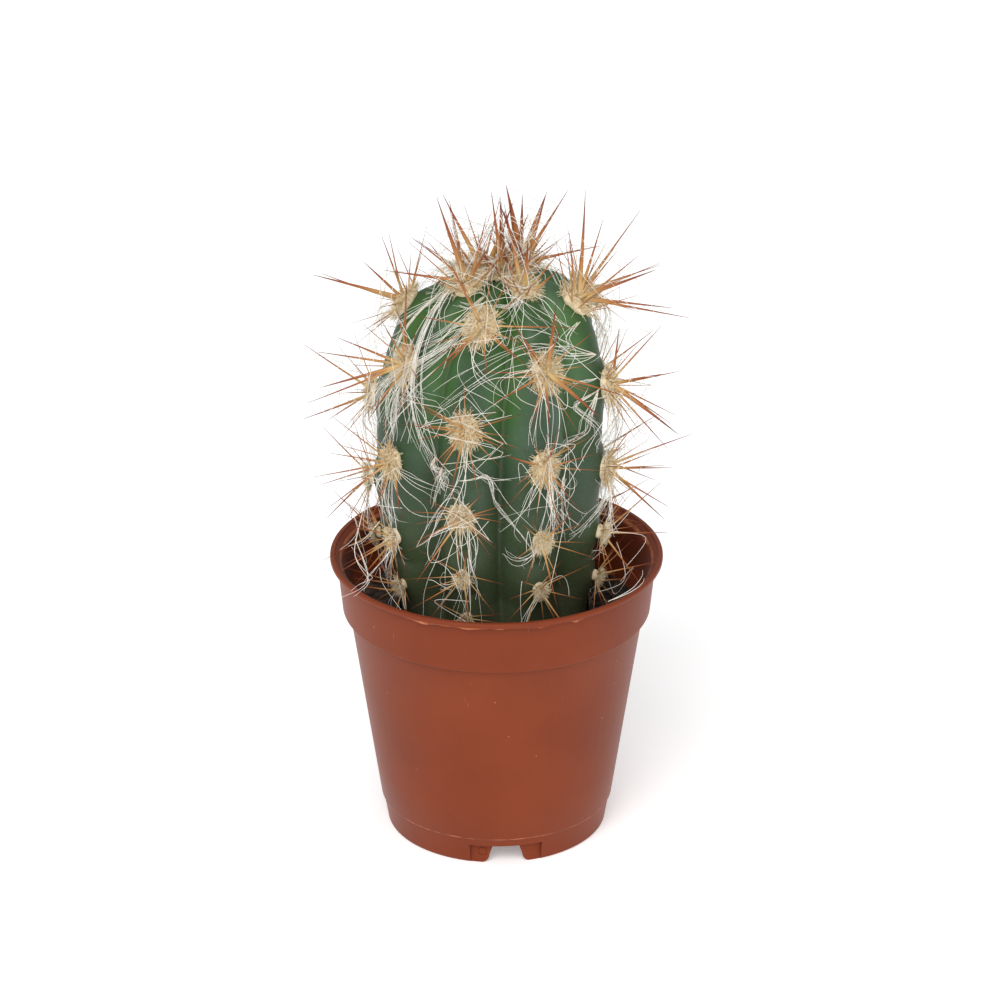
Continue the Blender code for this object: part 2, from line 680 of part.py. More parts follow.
clear_scene()
make_pot(make_material("terracotta_plastic", (0.29, 0.062, 0.03), 0.55))
make_soil(make_material("peat", (0.05, 0.033, 0.022), 0.95))
make_cactus(make_material("cactus_skin", (0.045, 0.075, 0.03), 0.5))
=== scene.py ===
# Potted oreocereus cactus: the looks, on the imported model's frame.
# Sizes are millimetres until a mesh is finished, the front faces -Y and the pot stands on z = 0.

import json
import math
import random

import bmesh
import bpy
from mathutils import Matrix, Vector, noise

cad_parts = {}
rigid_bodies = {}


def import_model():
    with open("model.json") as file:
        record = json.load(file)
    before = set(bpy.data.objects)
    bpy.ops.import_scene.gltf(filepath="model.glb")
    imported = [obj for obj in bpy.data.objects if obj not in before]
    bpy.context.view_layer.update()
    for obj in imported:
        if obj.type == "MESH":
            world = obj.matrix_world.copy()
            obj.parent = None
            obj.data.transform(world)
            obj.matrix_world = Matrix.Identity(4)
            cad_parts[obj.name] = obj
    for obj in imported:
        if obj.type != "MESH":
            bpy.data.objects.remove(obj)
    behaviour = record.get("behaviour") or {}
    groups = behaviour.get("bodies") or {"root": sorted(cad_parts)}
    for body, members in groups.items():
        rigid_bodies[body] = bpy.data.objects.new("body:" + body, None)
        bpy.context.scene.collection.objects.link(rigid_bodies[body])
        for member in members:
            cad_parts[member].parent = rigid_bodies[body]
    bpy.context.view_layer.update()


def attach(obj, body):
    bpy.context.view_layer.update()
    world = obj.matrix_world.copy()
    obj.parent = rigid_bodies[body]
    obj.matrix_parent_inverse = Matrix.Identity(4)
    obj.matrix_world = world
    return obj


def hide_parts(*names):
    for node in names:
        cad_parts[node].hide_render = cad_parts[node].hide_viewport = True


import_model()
mm = 0.001
print("frame loaded")


# General helpers

def mixed(low, high, share):
    return low + (high - low) * share


def clamped(value, low=0.0, high=1.0):
    return min(high, max(low, value))


def roundCorner(centreR, centreZ, radius, start, end, steps):
    # points of an arc in the (radius, height) plane, angles in degrees
    angles = [math.radians(mixed(start, end, i / steps)) for i in range(steps + 1)]
    return [(centreR + radius * math.cos(a), centreZ + radius * math.sin(a)) for a in angles]


def wrappedGrid(columns, rows, place):
    # a grid wrapped round the axis: place gives the point for a column and a row
    bm = bmesh.new()
    bmesh.ops.create_grid(bm, x_segments=columns, y_segments=rows, size=0.5)
    for vert in bm.verts:
        column, row = round((vert.co.x + 0.5) * columns), round((vert.co.y + 0.5) * rows)
        vert.co = place(column % columns, row)
    bmesh.ops.remove_doubles(bm, verts=bm.verts, dist=1e-4)
    bmesh.ops.recalc_face_normals(bm, faces=bm.faces)
    return bm


def asMesh(name, bm):
    # millimetres become metres here
    bmesh.ops.scale(bm, vec=(mm, mm, mm), verts=bm.verts)
    mesh = bpy.data.meshes.new(name)
    bm.to_mesh(mesh)
    bm.free()
    return mesh


def addPiece(name, mesh, materials, replaced=()):
    piece = bpy.data.objects.new(name, mesh)
    bpy.context.scene.collection.objects.link(piece)
    mesh.materials.clear()
    for material in materials:
        mesh.materials.append(material)
    mesh.shade_smooth()
    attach(piece, "root")
    if replaced:
        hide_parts(*replaced)
    print(name, "has", sum(len(face.vertices) - 2 for face in mesh.polygons), "triangles")
    return piece


def evaluatedMesh(item):
    bpy.context.view_layer.update()
    evaluated = item.evaluated_get(bpy.context.evaluated_depsgraph_get())
    return bpy.data.meshes.new_from_object(evaluated)


def strandMesh(name, strands, sides):
    # each strand is (points, radii, finish): one tapered tube, its U coordinate runs from root to tip
    curve = bpy.data.curves.new(name, "CURVE")
    curve.dimensions = "3D"
    curve.bevel_depth = mm
    curve.bevel_resolution = (sides - 4) // 2
    curve.use_fill_caps = True
    for points, radii, finish in strands:
        spline = curve.splines.new("POLY")
        spline.points.add(len(points) - 1)
        spline.points.foreach_set("co", [c for p in points for c in (p.x * mm, p.y * mm, p.z * mm, 1.0)])
        spline.points.foreach_set("radius", radii)
        spline.material_index = finish
        spline.use_smooth = True
    item = bpy.data.objects.new(name, curve)
    bpy.context.scene.collection.objects.link(item)
    mesh = evaluatedMesh(item)
    bpy.data.objects.remove(item)
    bpy.data.curves.remove(curve)
    bm = bmesh.new()
    bm.from_mesh(mesh)
    bmesh.ops.remove_doubles(bm, verts=bm.verts, dist=2e-6)
    bm.to_mesh(mesh)
    bm.free()
    return mesh


# Camera: the photograph's view, worked out from the pot's rim, steps and foot

view = {
    "aside": 0.58,          # the camera stands this far right of the pot's axis
    "distance": 765.7,      # from the middle of the pot's rim
    "elevation": 25.38,     # degrees above the rim
    "rimHeight": 48.7,
    "lookDown": 24.75,      # degrees, of the lens
    "focalPixels": 4635.2,  # at the photograph's 1000 pixels
    "pixels": 1000,
    "sensor": 36.0,
}


def viewPlace():
    rise = math.radians(view["elevation"])
    back = -view["distance"] * math.cos(rise)
    return Vector((view["aside"], back, view["rimHeight"] + view["distance"] * math.sin(rise)))


def viewAxes():
    down = math.radians(view["lookDown"])
    right = Vector((1, 0, 0))
    forward = Vector((0, math.cos(down), -math.sin(down)))
    return right, right.cross(forward), forward


def pixelOf(point):
    # where a point shows in the photograph's frame
    right, up, forward = viewAxes()
    arm = point - viewPlace()
    reach = view["focalPixels"] / arm.dot(forward)
    return view["pixels"] / 2 + arm.dot(right) * reach, view["pixels"] / 2 - arm.dot(up) * reach


def sightLine(x, y):
    # direction from the camera through a pixel of the photograph
    right, up, forward = viewAxes()
    aside = (x - view["pixels"] / 2) / view["focalPixels"]
    rise = (view["pixels"] / 2 - y) / view["focalPixels"]
    return (forward + right * aside + up * rise).normalized()


def makeCamera():
    lens = bpy.data.cameras.new("photoCamera")
    lens.sensor_width = view["sensor"]
    lens.lens = view["focalPixels"] * view["sensor"] / view["pixels"]
    camera = bpy.data.objects.new("photoCamera", lens)
    bpy.context.scene.collection.objects.link(camera)
    camera.location = viewPlace() * mm
    camera.rotation_euler = (math.radians(90 - view["lookDown"]), 0, 0)
    bpy.context.scene.camera = camera


makeCamera()
print("camera placed")


# Materials

def hexLinear(code):
    # an sRGB hex value as linear colour
    parts = [int(code[i:i + 2], 16) / 255 for i in (1, 3, 5)]
    return (*[c / 12.92 if c <= 0.04045 else ((c + 0.055) / 1.055) ** 2.4 for c in parts], 1.0)


def perSize(size):
    # texture scale of a feature of this many millimetres
    return 1 / (size * mm)


def newMaterial(name, **values):
    material = bpy.data.materials.new(name)
    material.use_nodes = True
    tree = material.node_tree
    shader = tree.nodes["Principled BSDF"]
    for socket, value in values.items():
        shader.inputs[socket.replace("_", " ")].default_value = value
    return material, tree, shader


def addNode(tree, kind, settings=(), inputs=(), stops=()):
    # adds a node and sets it: an input is a value, a hex colour or another node's output, and stops are
    # a ramp's (position, colour) pairs
    node = tree.nodes.new(kind)
    for name, value in dict(settings).items():
        setattr(node, name, value)
    for socket, value in dict(inputs).items():
        if isinstance(value, bpy.types.NodeSocket):
            tree.links.new(value, node.inputs[socket])
        else:
            node.inputs[socket].default_value = hexLinear(value) if isinstance(value, str) else value
    for count, (position, colour) in enumerate(stops):
        ramp = node.color_ramp.elements
        element = ramp[count] if count < len(ramp) else ramp.new(1.0)
        element.position = position
        element.color = hexLinear(colour) if isinstance(colour, str) else (colour, colour, colour, 1.0)
    return node


def joinSurface(tree, shader, colour=None, roughness=None, bumpFrom=None, bumpDepth=0.0, bumpStrength=1.0):
    if colour:
        tree.links.new(colour, shader.inputs["Base Color"])
    if roughness:
        tree.links.new(roughness, shader.inputs["Roughness"])
    if bumpFrom:
        depth = {"Height": bumpFrom, "Strength": bumpStrength, "Distance": bumpDepth * mm}
        bump = addNode(tree, "ShaderNodeBump", {}, depth)
        tree.links.new(bump.outputs["Normal"], shader.inputs["Normal"])


paint = {"data_type": "RGBA", "clamp_factor": True}  # a mix of two colours: inputs 6 and 7, output 2

potFinish = {
    "deep": "#78341a",
    "warm": "#813a1e",
    # pale orange of the rubbed edges, also a painted highlight where the edges catch the light
    "rubbedAndHighlight": "#cf7f55",
    "dust": "#c2a596",
    "cloud": 16.0,       # mm, the faint mottling of the moulded wall
    "grain": 0.35,       # mm, the mould's etched grain, drawn a little coarse so that it shows
    "scratch": (0.35, 5.0),  # mm, width and length of the rubbed streaks
    "speck": 2.2,        # mm between specks of dust
    # height and half width in mm, strength, least noise: the foot ring's step and the lip's lower edge, each
    # a pale line of painted highlight with some rubbed wear
    "wornAndLitLines": ((5.0, 0.09, 0.8, 0.42), (47.62, 0.26, 0.65, 0.36)),
}


def mouldedPolypropylene():
    # terracotta-coloured polypropylene, injection moulded in an etched mould: satin, faintly mottled, and
    # paler along the foot ring's step and the lip's lower edge: painted highlight with some rubbed wear
    s = potFinish
    material, tree, shader = newMaterial("mouldedPolypropylene", IOR=1.49, Specular_IOR_Level=0.16,
                                         Sheen_Weight=0.07, Sheen_Roughness=0.35)
    place = addNode(tree, "ShaderNodeTexCoord").outputs["Object"]
    wide = {"Vector": place, "Scale": perSize(s["cloud"]), "Detail": 3.0}
    cloud = addNode(tree, "ShaderNodeTexNoise", {}, wide).outputs[0]
    spread = addNode(tree, "ShaderNodeValToRGB", {}, {"Fac": cloud}, [(0.35, 0.0), (0.65, 1.0)])
    tone = {0: spread.outputs["Color"], 6: s["deep"], 7: s["warm"]}
    colour = addNode(tree, "ShaderNodeMix", paint, tone).outputs[2]
    # streaks of wear run up and down the wall
    narrow, long = s["scratch"]
    stretch = {"Vector": place, "Scale": (perSize(narrow), perSize(narrow), perSize(long))}
    turned = addNode(tree, "ShaderNodeMapping", {}, stretch).outputs[0]
    streaks = addNode(tree, "ShaderNodeTexNoise", {}, {"Vector": turned, "Scale": 1.0, "Detail": 2.0})
    stops = [(0.74, 0.0), (0.84, 0.2)]
    line = addNode(tree, "ShaderNodeValToRGB", {}, {"Fac": streaks.outputs[0]}, stops).outputs["Color"]
    colour = addNode(tree, "ShaderNodeMix", paint, {0: line, 6: colour, 7: s["dust"]}).outputs[2]
    # a few specks of dust: one cell in eight has one
    cells = addNode(tree, "ShaderNodeTexVoronoi", {}, {"Vector": place, "Scale": perSize(s["speck"])})
    stops = [(0.03, 0.5), (0.07, 0.0)]
    dot = addNode(tree, "ShaderNodeValToRGB", {}, {"Fac": cells.outputs["Distance"]}, stops)
    pick = addNode(tree, "ShaderNodeSeparateColor", {}, {"Color": cells.outputs["Color"]}).outputs[0]
    chosen = addNode(tree, "ShaderNodeMath", {"operation": "GREATER_THAN"}, {0: pick, 1: 0.87}).outputs[0]
    speck = addNode(tree, "ShaderNodeMath", {"operation": "MULTIPLY"}, {0: dot.outputs["Color"], 1: chosen})
    colour = addNode(tree, "ShaderNodeMix", paint, {0: speck.outputs[0], 6: colour, 7: s["dust"]}).outputs[2]
    height = addNode(tree, "ShaderNodeSeparateXYZ", {}, {"Vector": place}).outputs["Z"]
    ragged = addNode(tree, "ShaderNodeTexNoise", {}, {"Vector": place, "Scale": perSize(2.5), "Detail": 3.0})
    # painted highlight with some rubbed wear: ragged pale lines along the foot ring's step and the lip's
    # lower edge
    for level, half, strength, least in s["wornAndLitLines"]:
        band = {0: height, 1: level * mm, 2: half * mm}
        near = addNode(tree, "ShaderNodeMath", {"operation": "COMPARE"}, band).outputs[0]
        wornAndLit = {"Value": ragged.outputs[0], "From Min": least, "From Max": least + 0.2, "To Max": strength}
        share = addNode(tree, "ShaderNodeMapRange", {}, wornAndLit).outputs[0]
        both = addNode(tree, "ShaderNodeMath", {"operation": "MULTIPLY"}, {0: near, 1: share}).outputs[0]
        colour = addNode(tree, "ShaderNodeMix", paint, {0: both, 6: colour, 7: s["rubbedAndHighlight"]}).outputs[2]
    satin = {"Value": cloud, "To Min": 0.42, "To Max": 0.54}
    rough = addNode(tree, "ShaderNodeMapRange", {}, satin).outputs[0]
    etched = {"Vector": place, "Scale": perSize(s["grain"]), "Detail": 1.0}
    grain = addNode(tree, "ShaderNodeTexNoise", {}, etched).outputs[0]
    joinSurface(tree, shader, colour, rough, grain, 0.03, 0.3)
    return material


peatFinish = {
    "dark": "#1d1612",
    "damp": "#37291f",
    "dry": "#6b5540",
    "clod": 1.6,    # mm
    "grit": 0.45,   # mm
}


def moistPeat():
    # milled sphagnum peat, damp: dull, almost black in its pores and brown on its dry fibres
    s = peatFinish
    material, tree, shader = newMaterial("moistPeat", Roughness=0.92)
    place = addNode(tree, "ShaderNodeTexCoord").outputs["Object"]
    lumps = {"Vector": place, "Scale": perSize(s["clod"]), "Detail": 5.0}
    clod = addNode(tree, "ShaderNodeTexNoise", {}, lumps)
    stops = [(0.32, s["dark"]), (0.52, s["damp"]), (0.72, s["dry"])]
    tone = addNode(tree, "ShaderNodeValToRGB", {}, {"Fac": clod.outputs[0]}, stops).outputs["Color"]
    grit = addNode(tree, "ShaderNodeTexVoronoi", {}, {"Vector": place, "Scale": perSize(s["grit"])})
    grains = {"Value": grit.outputs["Color"], "To Min": 0.55, "To Max": 1.25}
    shade = addNode(tree, "ShaderNodeMapRange", {}, grains).outputs[0]
    darker = {0: 1.0, 6: tone, 7: shade}
    colour = addNode(tree, "ShaderNodeMix", {**paint, "blend_type": "MULTIPLY"}, darker).outputs[2]
    joinSurface(tree, shader, colour, None, grit.outputs["Distance"], 0.3, 0.6)
    return material


skinFinish = {
    "foot": "#3f422f",
    "low": "#38462c",
    "middle": "#2c4328",
    "high": "#2f4b2a",
    "crown": "#3a5a30",
    "fresh": "#4f7d36",
    # grey-blue of the wax bloom, also a painted sheen
    "bloomAndSheen": "#5a6e66",
    "speck": "#6c7f56",
    "mottle": 4.0,     # mm
    "pore": 0.55,      # mm between the breathing pores that show as pale specks
    "bloomAndSheenPatch": 11.0,  # mm
}


def cactusSkin():
    # the waxy skin of a cactus stem: dark green, fresher in the young grooves near the top, with a thin
    # grey-blue wax bloom that is also a painted sheen on the upper shoulders, fine pale pores and painted
    # shade deep in the grooves; smooth, with a soft broad highlight
    s = skinFinish
    material, tree, shader = newMaterial("cactusSkin", IOR=1.45, Specular_IOR_Level=0.35)
    place = addNode(tree, "ShaderNodeTexCoord").outputs["Object"]
    where = addNode(tree, "ShaderNodeAttribute", {"attribute_name": "skinPlace"}).outputs["Color"]
    across, height, young = addNode(tree, "ShaderNodeSeparateColor", {}, {"Color": where}).outputs[:3]
    soft = {"Vector": place, "Scale": perSize(s["mottle"]), "Detail": 4.0}
    mottle = addNode(tree, "ShaderNodeTexNoise", {}, soft).outputs[0]
    offset = {0: mottle, 1: 0.22, 2: -0.11}
    shifted = addNode(tree, "ShaderNodeMath", {"operation": "MULTIPLY_ADD"}, offset)
    levelNode = addNode(tree, "ShaderNodeMath", {"operation": "ADD"}, {0: height, 1: shifted.outputs[0]})
    level = levelNode.outputs[0]
    stops = [(0.0, s["foot"]), (0.25, s["low"]), (0.55, s["middle"]), (0.8, s["high"]), (1.0, s["crown"])]
    colour = addNode(tree, "ShaderNodeValToRGB", {}, {"Fac": level}, stops).outputs["Color"]
    colour = addNode(tree, "ShaderNodeMix", paint, {0: young, 6: colour, 7: s["fresh"]}).outputs[2]
    # grey-blue patches, stronger towards the top: wax bloom, with a painted sheen on the upper shoulders
    broad = {"Vector": place, "Scale": perSize(s["bloomAndSheenPatch"]), "Detail": 2.0}
    patch = addNode(tree, "ShaderNodeTexNoise", {}, broad).outputs[0]
    stops = [(0.42, 0.0), (0.72, 0.5)]
    edge = addNode(tree, "ShaderNodeValToRGB", {}, {"Fac": patch}, stops).outputs["Color"]
    onTop = addNode(tree, "ShaderNodeMath", {"operation": "MULTIPLY"}, {0: edge, 1: height}).outputs[0]
    colour = addNode(tree, "ShaderNodeMix", paint, {0: onTop, 6: colour, 7: s["bloomAndSheen"]}).outputs[2]
    pores = addNode(tree, "ShaderNodeTexVoronoi", {}, {"Vector": place, "Scale": perSize(s["pore"])})
    stops = [(0.1, 0.25), (0.26, 0.0)]
    dot = addNode(tree, "ShaderNodeValToRGB", {}, {"Fac": pores.outputs["Distance"]}, stops).outputs["Color"]
    colour = addNode(tree, "ShaderNodeMix", paint, {0: dot, 6: colour, 7: s["speck"]}).outputs[2]
    # painted shade: the floor of each groove is darkened towards the foot's colour
    groove = {"Value": across, "From Min": 0.85, "From Max": 1.0, "To Min": 0.0, "To Max": 0.35}
    dark = addNode(tree, "ShaderNodeMapRange", {}, groove).outputs[0]
    colour = addNode(tree, "ShaderNodeMix", paint, {0: dark, 6: colour, 7: s["foot"]}).outputs[2]
    waxy = {"Value": mottle, "To Min": 0.36, "To Max": 0.56}
    rough = addNode(tree, "ShaderNodeMapRange", {}, waxy).outputs[0]
    joinSurface(tree, shader, colour, rough, mottle, 0.12, 0.5)
    return material


woolFinish = {
    "cream": "#efddb9",
    "tan": "#dcc293",
    "brown": "#9c7448",
    "blush": "#e59c6a",
    "blushCream": "#f0cfa6",
    "lowerTone": "#a58e68",
    "lowerToneZ": (44.0, 56.0),   # mm, the height below which the wool turns towards the duller lower tone, and above which it keeps its own colour
    "tuft": 0.9,       # mm
}


def areoleFelt(name, cream, tan):
    # the short felted wool of an areole: matt, soft, cream, with tan tufts and brown bits round the spines
    material, tree, shader = newMaterial(name, Roughness=0.95, Sheen_Weight=0.25)
    place = addNode(tree, "ShaderNodeTexCoord").outputs["Object"]
    loose = {"Vector": place, "Scale": perSize(woolFinish["tuft"]), "Detail": 3.0}
    tuft = addNode(tree, "ShaderNodeTexNoise", {}, loose).outputs[0]
    stops = [(0.24, woolFinish["brown"]), (0.34, tan), (0.46, cream)]
    tone = addNode(tree, "ShaderNodeValToRGB", {}, {"Fac": tuft}, stops).outputs["Color"]
    height = addNode(tree, "ShaderNodeSeparateXYZ", {}, {"Vector": place}).outputs["Z"]
    low, high = woolFinish["lowerToneZ"]
    lowerShare = {"Value": height, "From Min": low * mm, "From Max": high * mm, "To Min": 0.6, "To Max": 0.0}
    share = addNode(tree, "ShaderNodeMapRange", {}, lowerShare).outputs[0]
    # the wool is duller towards the bottom
    tone = addNode(tree, "ShaderNodeMix", paint, {0: share, 6: tone, 7: woolFinish["lowerTone"]}).outputs[2]
    joinSurface(tree, shader, tone, None, tuft, 0.12, 0.5)
    return material


def spineHorn(name, stops, drift, roughness=0.4):
    # a cactus spine is hardened like horn: it grows pale and darkens to its tip, and has a low gloss
    material, tree, shader = newMaterial(name, Roughness=roughness, IOR=1.52, Specular_IOR_Level=0.22)
    strand = addNode(tree, "ShaderNodeTexCoord")
    along = addNode(tree, "ShaderNodeSeparateXYZ", {}, {"Vector": strand.outputs["UV"]}).outputs["X"]
    rings = {"Vector": strand.outputs["Object"], "Scale": perSize(3.2), "Detail": 2.0}
    vary = addNode(tree, "ShaderNodeTexNoise", {}, rings).outputs[0]
    shift = addNode(tree, "ShaderNodeMath", {"operation": "MULTIPLY_ADD"}, {0: vary, 1: drift, 2: -drift / 2})
    total = addNode(tree, "ShaderNodeMath", {"operation": "ADD"}, {0: along, 1: shift.outputs[0]}).outputs[0]
    tone = addNode(tree, "ShaderNodeValToRGB", {}, {"Fac": total}, stops).outputs["Color"]
    joinSurface(tree, shader, tone)
    return material


def silkHair(name, root, tip):
    # the long silky hairs: white and nearly clear, so that they take the light of all that is round them
    material, tree, shader = newMaterial(name, Roughness=0.5, IOR=1.5)
    strand = addNode(tree, "ShaderNodeTexCoord").outputs["UV"]
    along = addNode(tree, "ShaderNodeSeparateXYZ", {}, {"Vector": strand}).outputs["X"]
    tone = addNode(tree, "ShaderNodeValToRGB", {}, {"Fac": along}, [(0.0, root), (0.3, tip)]).outputs["Color"]
    joinSurface(tree, shader, tone)
    return material


spineTones = {  # (share of the length, colour), from the root to the tip
    "pale": [(0.0, "#d6bf8c"), (0.25, "#c0925a"), (0.5, "#a8663a"), (0.8, "#843f24"), (1.0, "#522318")],
    "rust": [(0.0, "#c08f5a"), (0.12, "#a96238"), (0.35, "#8d3f24"), (0.75, "#6e2c1c"), (1.0, "#421611")],
    "dark": [(0.0, "#a35c2d"), (0.25, "#863b21"), (0.7, "#632919"), (1.0, "#2d120f")],
    "bright": [(0.0, "#e88f52"), (0.25, "#d2662f"), (0.65, "#ac4926"), (1.0, "#672518")],
}

plastic = mouldedPolypropylene()
peat = moistPeat()
skin = cactusSkin()
felt = areoleFelt("areoleFelt", woolFinish["cream"], woolFinish["tan"])
crownFelt = areoleFelt("crownFelt", woolFinish["blushCream"], woolFinish["blush"])
spineFinishes = [spineHorn(f"{name}SpineHorn", stops, 0.4) for name, stops in spineTones.items()]
pale, rust, dark, bright = range(4)
hairSilk = silkHair("silkHair", "#e6dcc4", "#f3efe6")
print("materials made")


# Pot

potShape = {
    "sides": 192,
    "height": 48.7,
    "wall": 0.9,
    "lipRadius": 27.5,
    "lipHeight": 0.85,
    "collarTop": 26.4,
    "collarFoot": 25.5,
    "collarFootZ": 39.25,
    "collarFootRound": 0.3,
    "bodyTop": 24.38,
    "bodyTopZ": 38.75,
    "bodyFoot": 19.4,
    "ringRadius": 18.35,
    "ringZ": 5.0,
    "ringStep": 0.3,
    "ringWall": 1.3,
    "edgeRound": 0.45,
    "lipRound": 0.3,
    "lipWall": 0.9,
    "flareZ": 46.4,
    "floorUnderZ": 3.8,
    "floorTopZ": 4.7,
    "ledgeTopZ": 41.65,
    "ledgeFootZ": 40.15,
    "notchCount": 3,
    "notchAzimuth": 5.0,
    "notchTop": 4.6,             # widths at the top and above the rounded foot
    "notchFoot": 5.5,
    "notchHeight": 3.1,
    "notchCorner": 0.3,
    "notchFootRound": 1.5,
    "notchDrop": 0.05,
    "panelAngle": 37.5,
    "panelHeight": 3.5,
    "panelDepth": 0.35,
    "panelSteps": 24,
    "mark": (-7.4, 2.1, 0.72, 0.11),  # the mould's ring mark: azimuth, height, radius and thickness
    "drainRadius": 1.8,
    "drainRing": 13.5,
    "drainSides": 32,
    "cutterReach": 4.0,
    "flash": 0.55,               # moulding flash that hangs below the lip at the front
    "flashFrom": -34.0,          # degrees from the front
    "flashTo": 34.0,
}


def bodyRadius(z):
    s = potShape
    return mixed(s["bodyFoot"], s["bodyTop"], (z - s["ringZ"]) / (s["bodyTopZ"] - s["ringZ"]))


def innerRadius(z):
    s = potShape
    if z >= s["ledgeTopZ"]:
        share = (z - s["collarFootZ"]) / (s["height"] - s["collarFootZ"])
        straight = mixed(s["collarFoot"], s["collarTop"], share) - s["wall"]
        flare = max(0.0, (z - s["flareZ"]) / (s["height"] - s["flareZ"])) ** 2
        return straight + flare * (s["lipRadius"] - s["lipWall"] - s["collarTop"] + s["wall"])
    if z >= s["ledgeFootZ"]:
        share = (z - s["ledgeFootZ"]) / (s["ledgeTopZ"] - s["ledgeFootZ"])
        return mixed(bodyRadius(s["ledgeFootZ"]), innerRadius(s["ledgeTopZ"]) + s["wall"], share) - s["wall"]
    return bodyRadius(z) - s["wall"]


def potProfile():
    # half section: under the floor, round the foot ring, up the outside, over the lip, down the inside
    s = potShape
    edge = s["edgeRound"]
    underLip = s["height"] - s["lipHeight"]
    ringInner = s["ringRadius"] - s["ringWall"]
    stepRound = s["collarFootRound"]
    rimInner = innerRadius(s["height"])
    profile = [(0.0, s["floorUnderZ"]), (ringInner + edge, s["floorUnderZ"])]
    profile += [(ringInner, 0.15), (ringInner + 0.15, 0.0)]
    profile += roundCorner(s["ringRadius"] - edge, edge, edge, -90, 0, 6)
    profile += [(s["bodyFoot"] - s["ringStep"] - 0.04, s["ringZ"] - s["ringStep"] - 0.1)]
    profile += [(s["bodyFoot"] - s["ringStep"], s["ringZ"] - s["ringStep"])]
    profile += [(s["bodyFoot"] - 0.06, s["ringZ"] - 0.06)]
    profile += [(s["bodyFoot"], s["ringZ"] + 0.06)]
    profile += [(bodyRadius(z), z) for z in (12.0, 20.0, 28.0)]
    profile += [(s["bodyTop"], s["bodyTopZ"] - 0.2), (s["bodyTop"] + 0.08, s["bodyTopZ"])]
    profile += roundCorner(s["collarFoot"] - stepRound, s["collarFootZ"], stepRound, -90, 0, 7)
    profile += [(mixed(s["collarFoot"], s["collarTop"], 0.5), mixed(s["collarFootZ"], underLip, 0.5))]
    profile += [(s["collarTop"] - 0.03, underLip - 0.12), (s["collarTop"] + 0.12, underLip)]
    lip = s["lipRound"]
    profile += roundCorner(s["lipRadius"] - lip, underLip + lip, lip, -90, 0, 5)
    profile += roundCorner(s["lipRadius"] - lip, s["height"] - lip, lip, 0, 90, 6)
    profile += roundCorner(rimInner + lip, s["height"] - lip, lip, 90, 180, 6)
    inside = (47.8, 47.2, s["flareZ"], s["ledgeTopZ"] + 0.1, s["ledgeTopZ"])
    profile += [(innerRadius(z), z) for z in inside]
    profile += [(innerRadius(s["ledgeFootZ"]), s["ledgeFootZ"]), (innerRadius(20.0), 20.0)]
    profile += [(innerRadius(s["floorTopZ"] + edge), s["floorTopZ"] + edge)]
    profile += [(innerRadius(s["floorTopZ"]) - edge, s["floorTopZ"]), (0.0, s["floorTopZ"])]
    return profile


def hangFlash(bm):
    # the thin ragged flash that the mould left along the lip's lower edge
    s = potShape
    underLip = s["height"] - s["lipHeight"]
    for vert in bm.verts:
        r = math.hypot(vert.co.x, vert.co.y)
        if r < s["lipRadius"] - 0.4 or abs(vert.co.z - underLip) > s["lipRound"] * 0.6:
            continue
        azimuth = math.degrees(math.atan2(vert.co.x, -vert.co.y))
        inside = clamped((azimuth - s["flashFrom"]) / 6) * clamped((s["flashTo"] - azimuth) / 6)
        ragged = clamped(0.3 + 1.6 * noise.noise(Vector((vert.co.x, vert.co.y, 7.0)) * 0.4))
        vert.co.z -= s["flash"] * ragged * inside


def notchCutter(azimuth, cutters):
    # an upright outline, open below the foot, with rounded tabs beside it, pushed out through the foot ring
    s = potShape
    foot, top = s["notchFoot"] / 2 + s["notchFootRound"], s["notchHeight"] - s["notchCorner"]
    right = [(foot, -s["cutterReach"])]
    right += roundCorner(foot, s["notchFootRound"] - s["notchDrop"], s["notchFootRound"], 270, 180, 8)
    right += roundCorner(s["notchTop"] / 2 - s["notchCorner"], top, s["notchCorner"], 0, 90, 4)
    near = s["ringRadius"] - s["cutterReach"]
    bm = bmesh.new()
    outline = right + [(-x, z) for x, z in reversed(right)]
    face = bm.faces.new([bm.verts.new((x, -near, z)) for x, z in outline])
    grown = bmesh.ops.extrude_face_region(bm, geom=[face])
    moved = [v for v in grown["geom"] if isinstance(v, bmesh.types.BMVert)]
    bmesh.ops.translate(bm, vec=(0, -2 * s["cutterReach"], 0), verts=moved)
    addCutter("notchCutter", bm, azimuth, cutters)


def panelCutter(azimuth, cutters):
    # a sector of a ring that takes the panel's depth off the foot ring
    s = potShape
    near, far, low = s["ringRadius"] - s["panelDepth"], s["ringRadius"] + s["cutterReach"], -s["cutterReach"]
    corners = ((near, low), (far, low), (far, s["panelHeight"]), (near, s["panelHeight"]))
    bm = bmesh.new()
    face = bm.faces.new([bm.verts.new((0.0, -r, z)) for r, z in corners])
    bmesh.ops.spin(bm, geom=[face], cent=(0, 0, 0), axis=(0, 0, 1), angle=math.radians(s["panelAngle"]),
                   steps=s["panelSteps"])
    addCutter("panelCutter", bm, azimuth - s["panelAngle"] / 2, cutters)


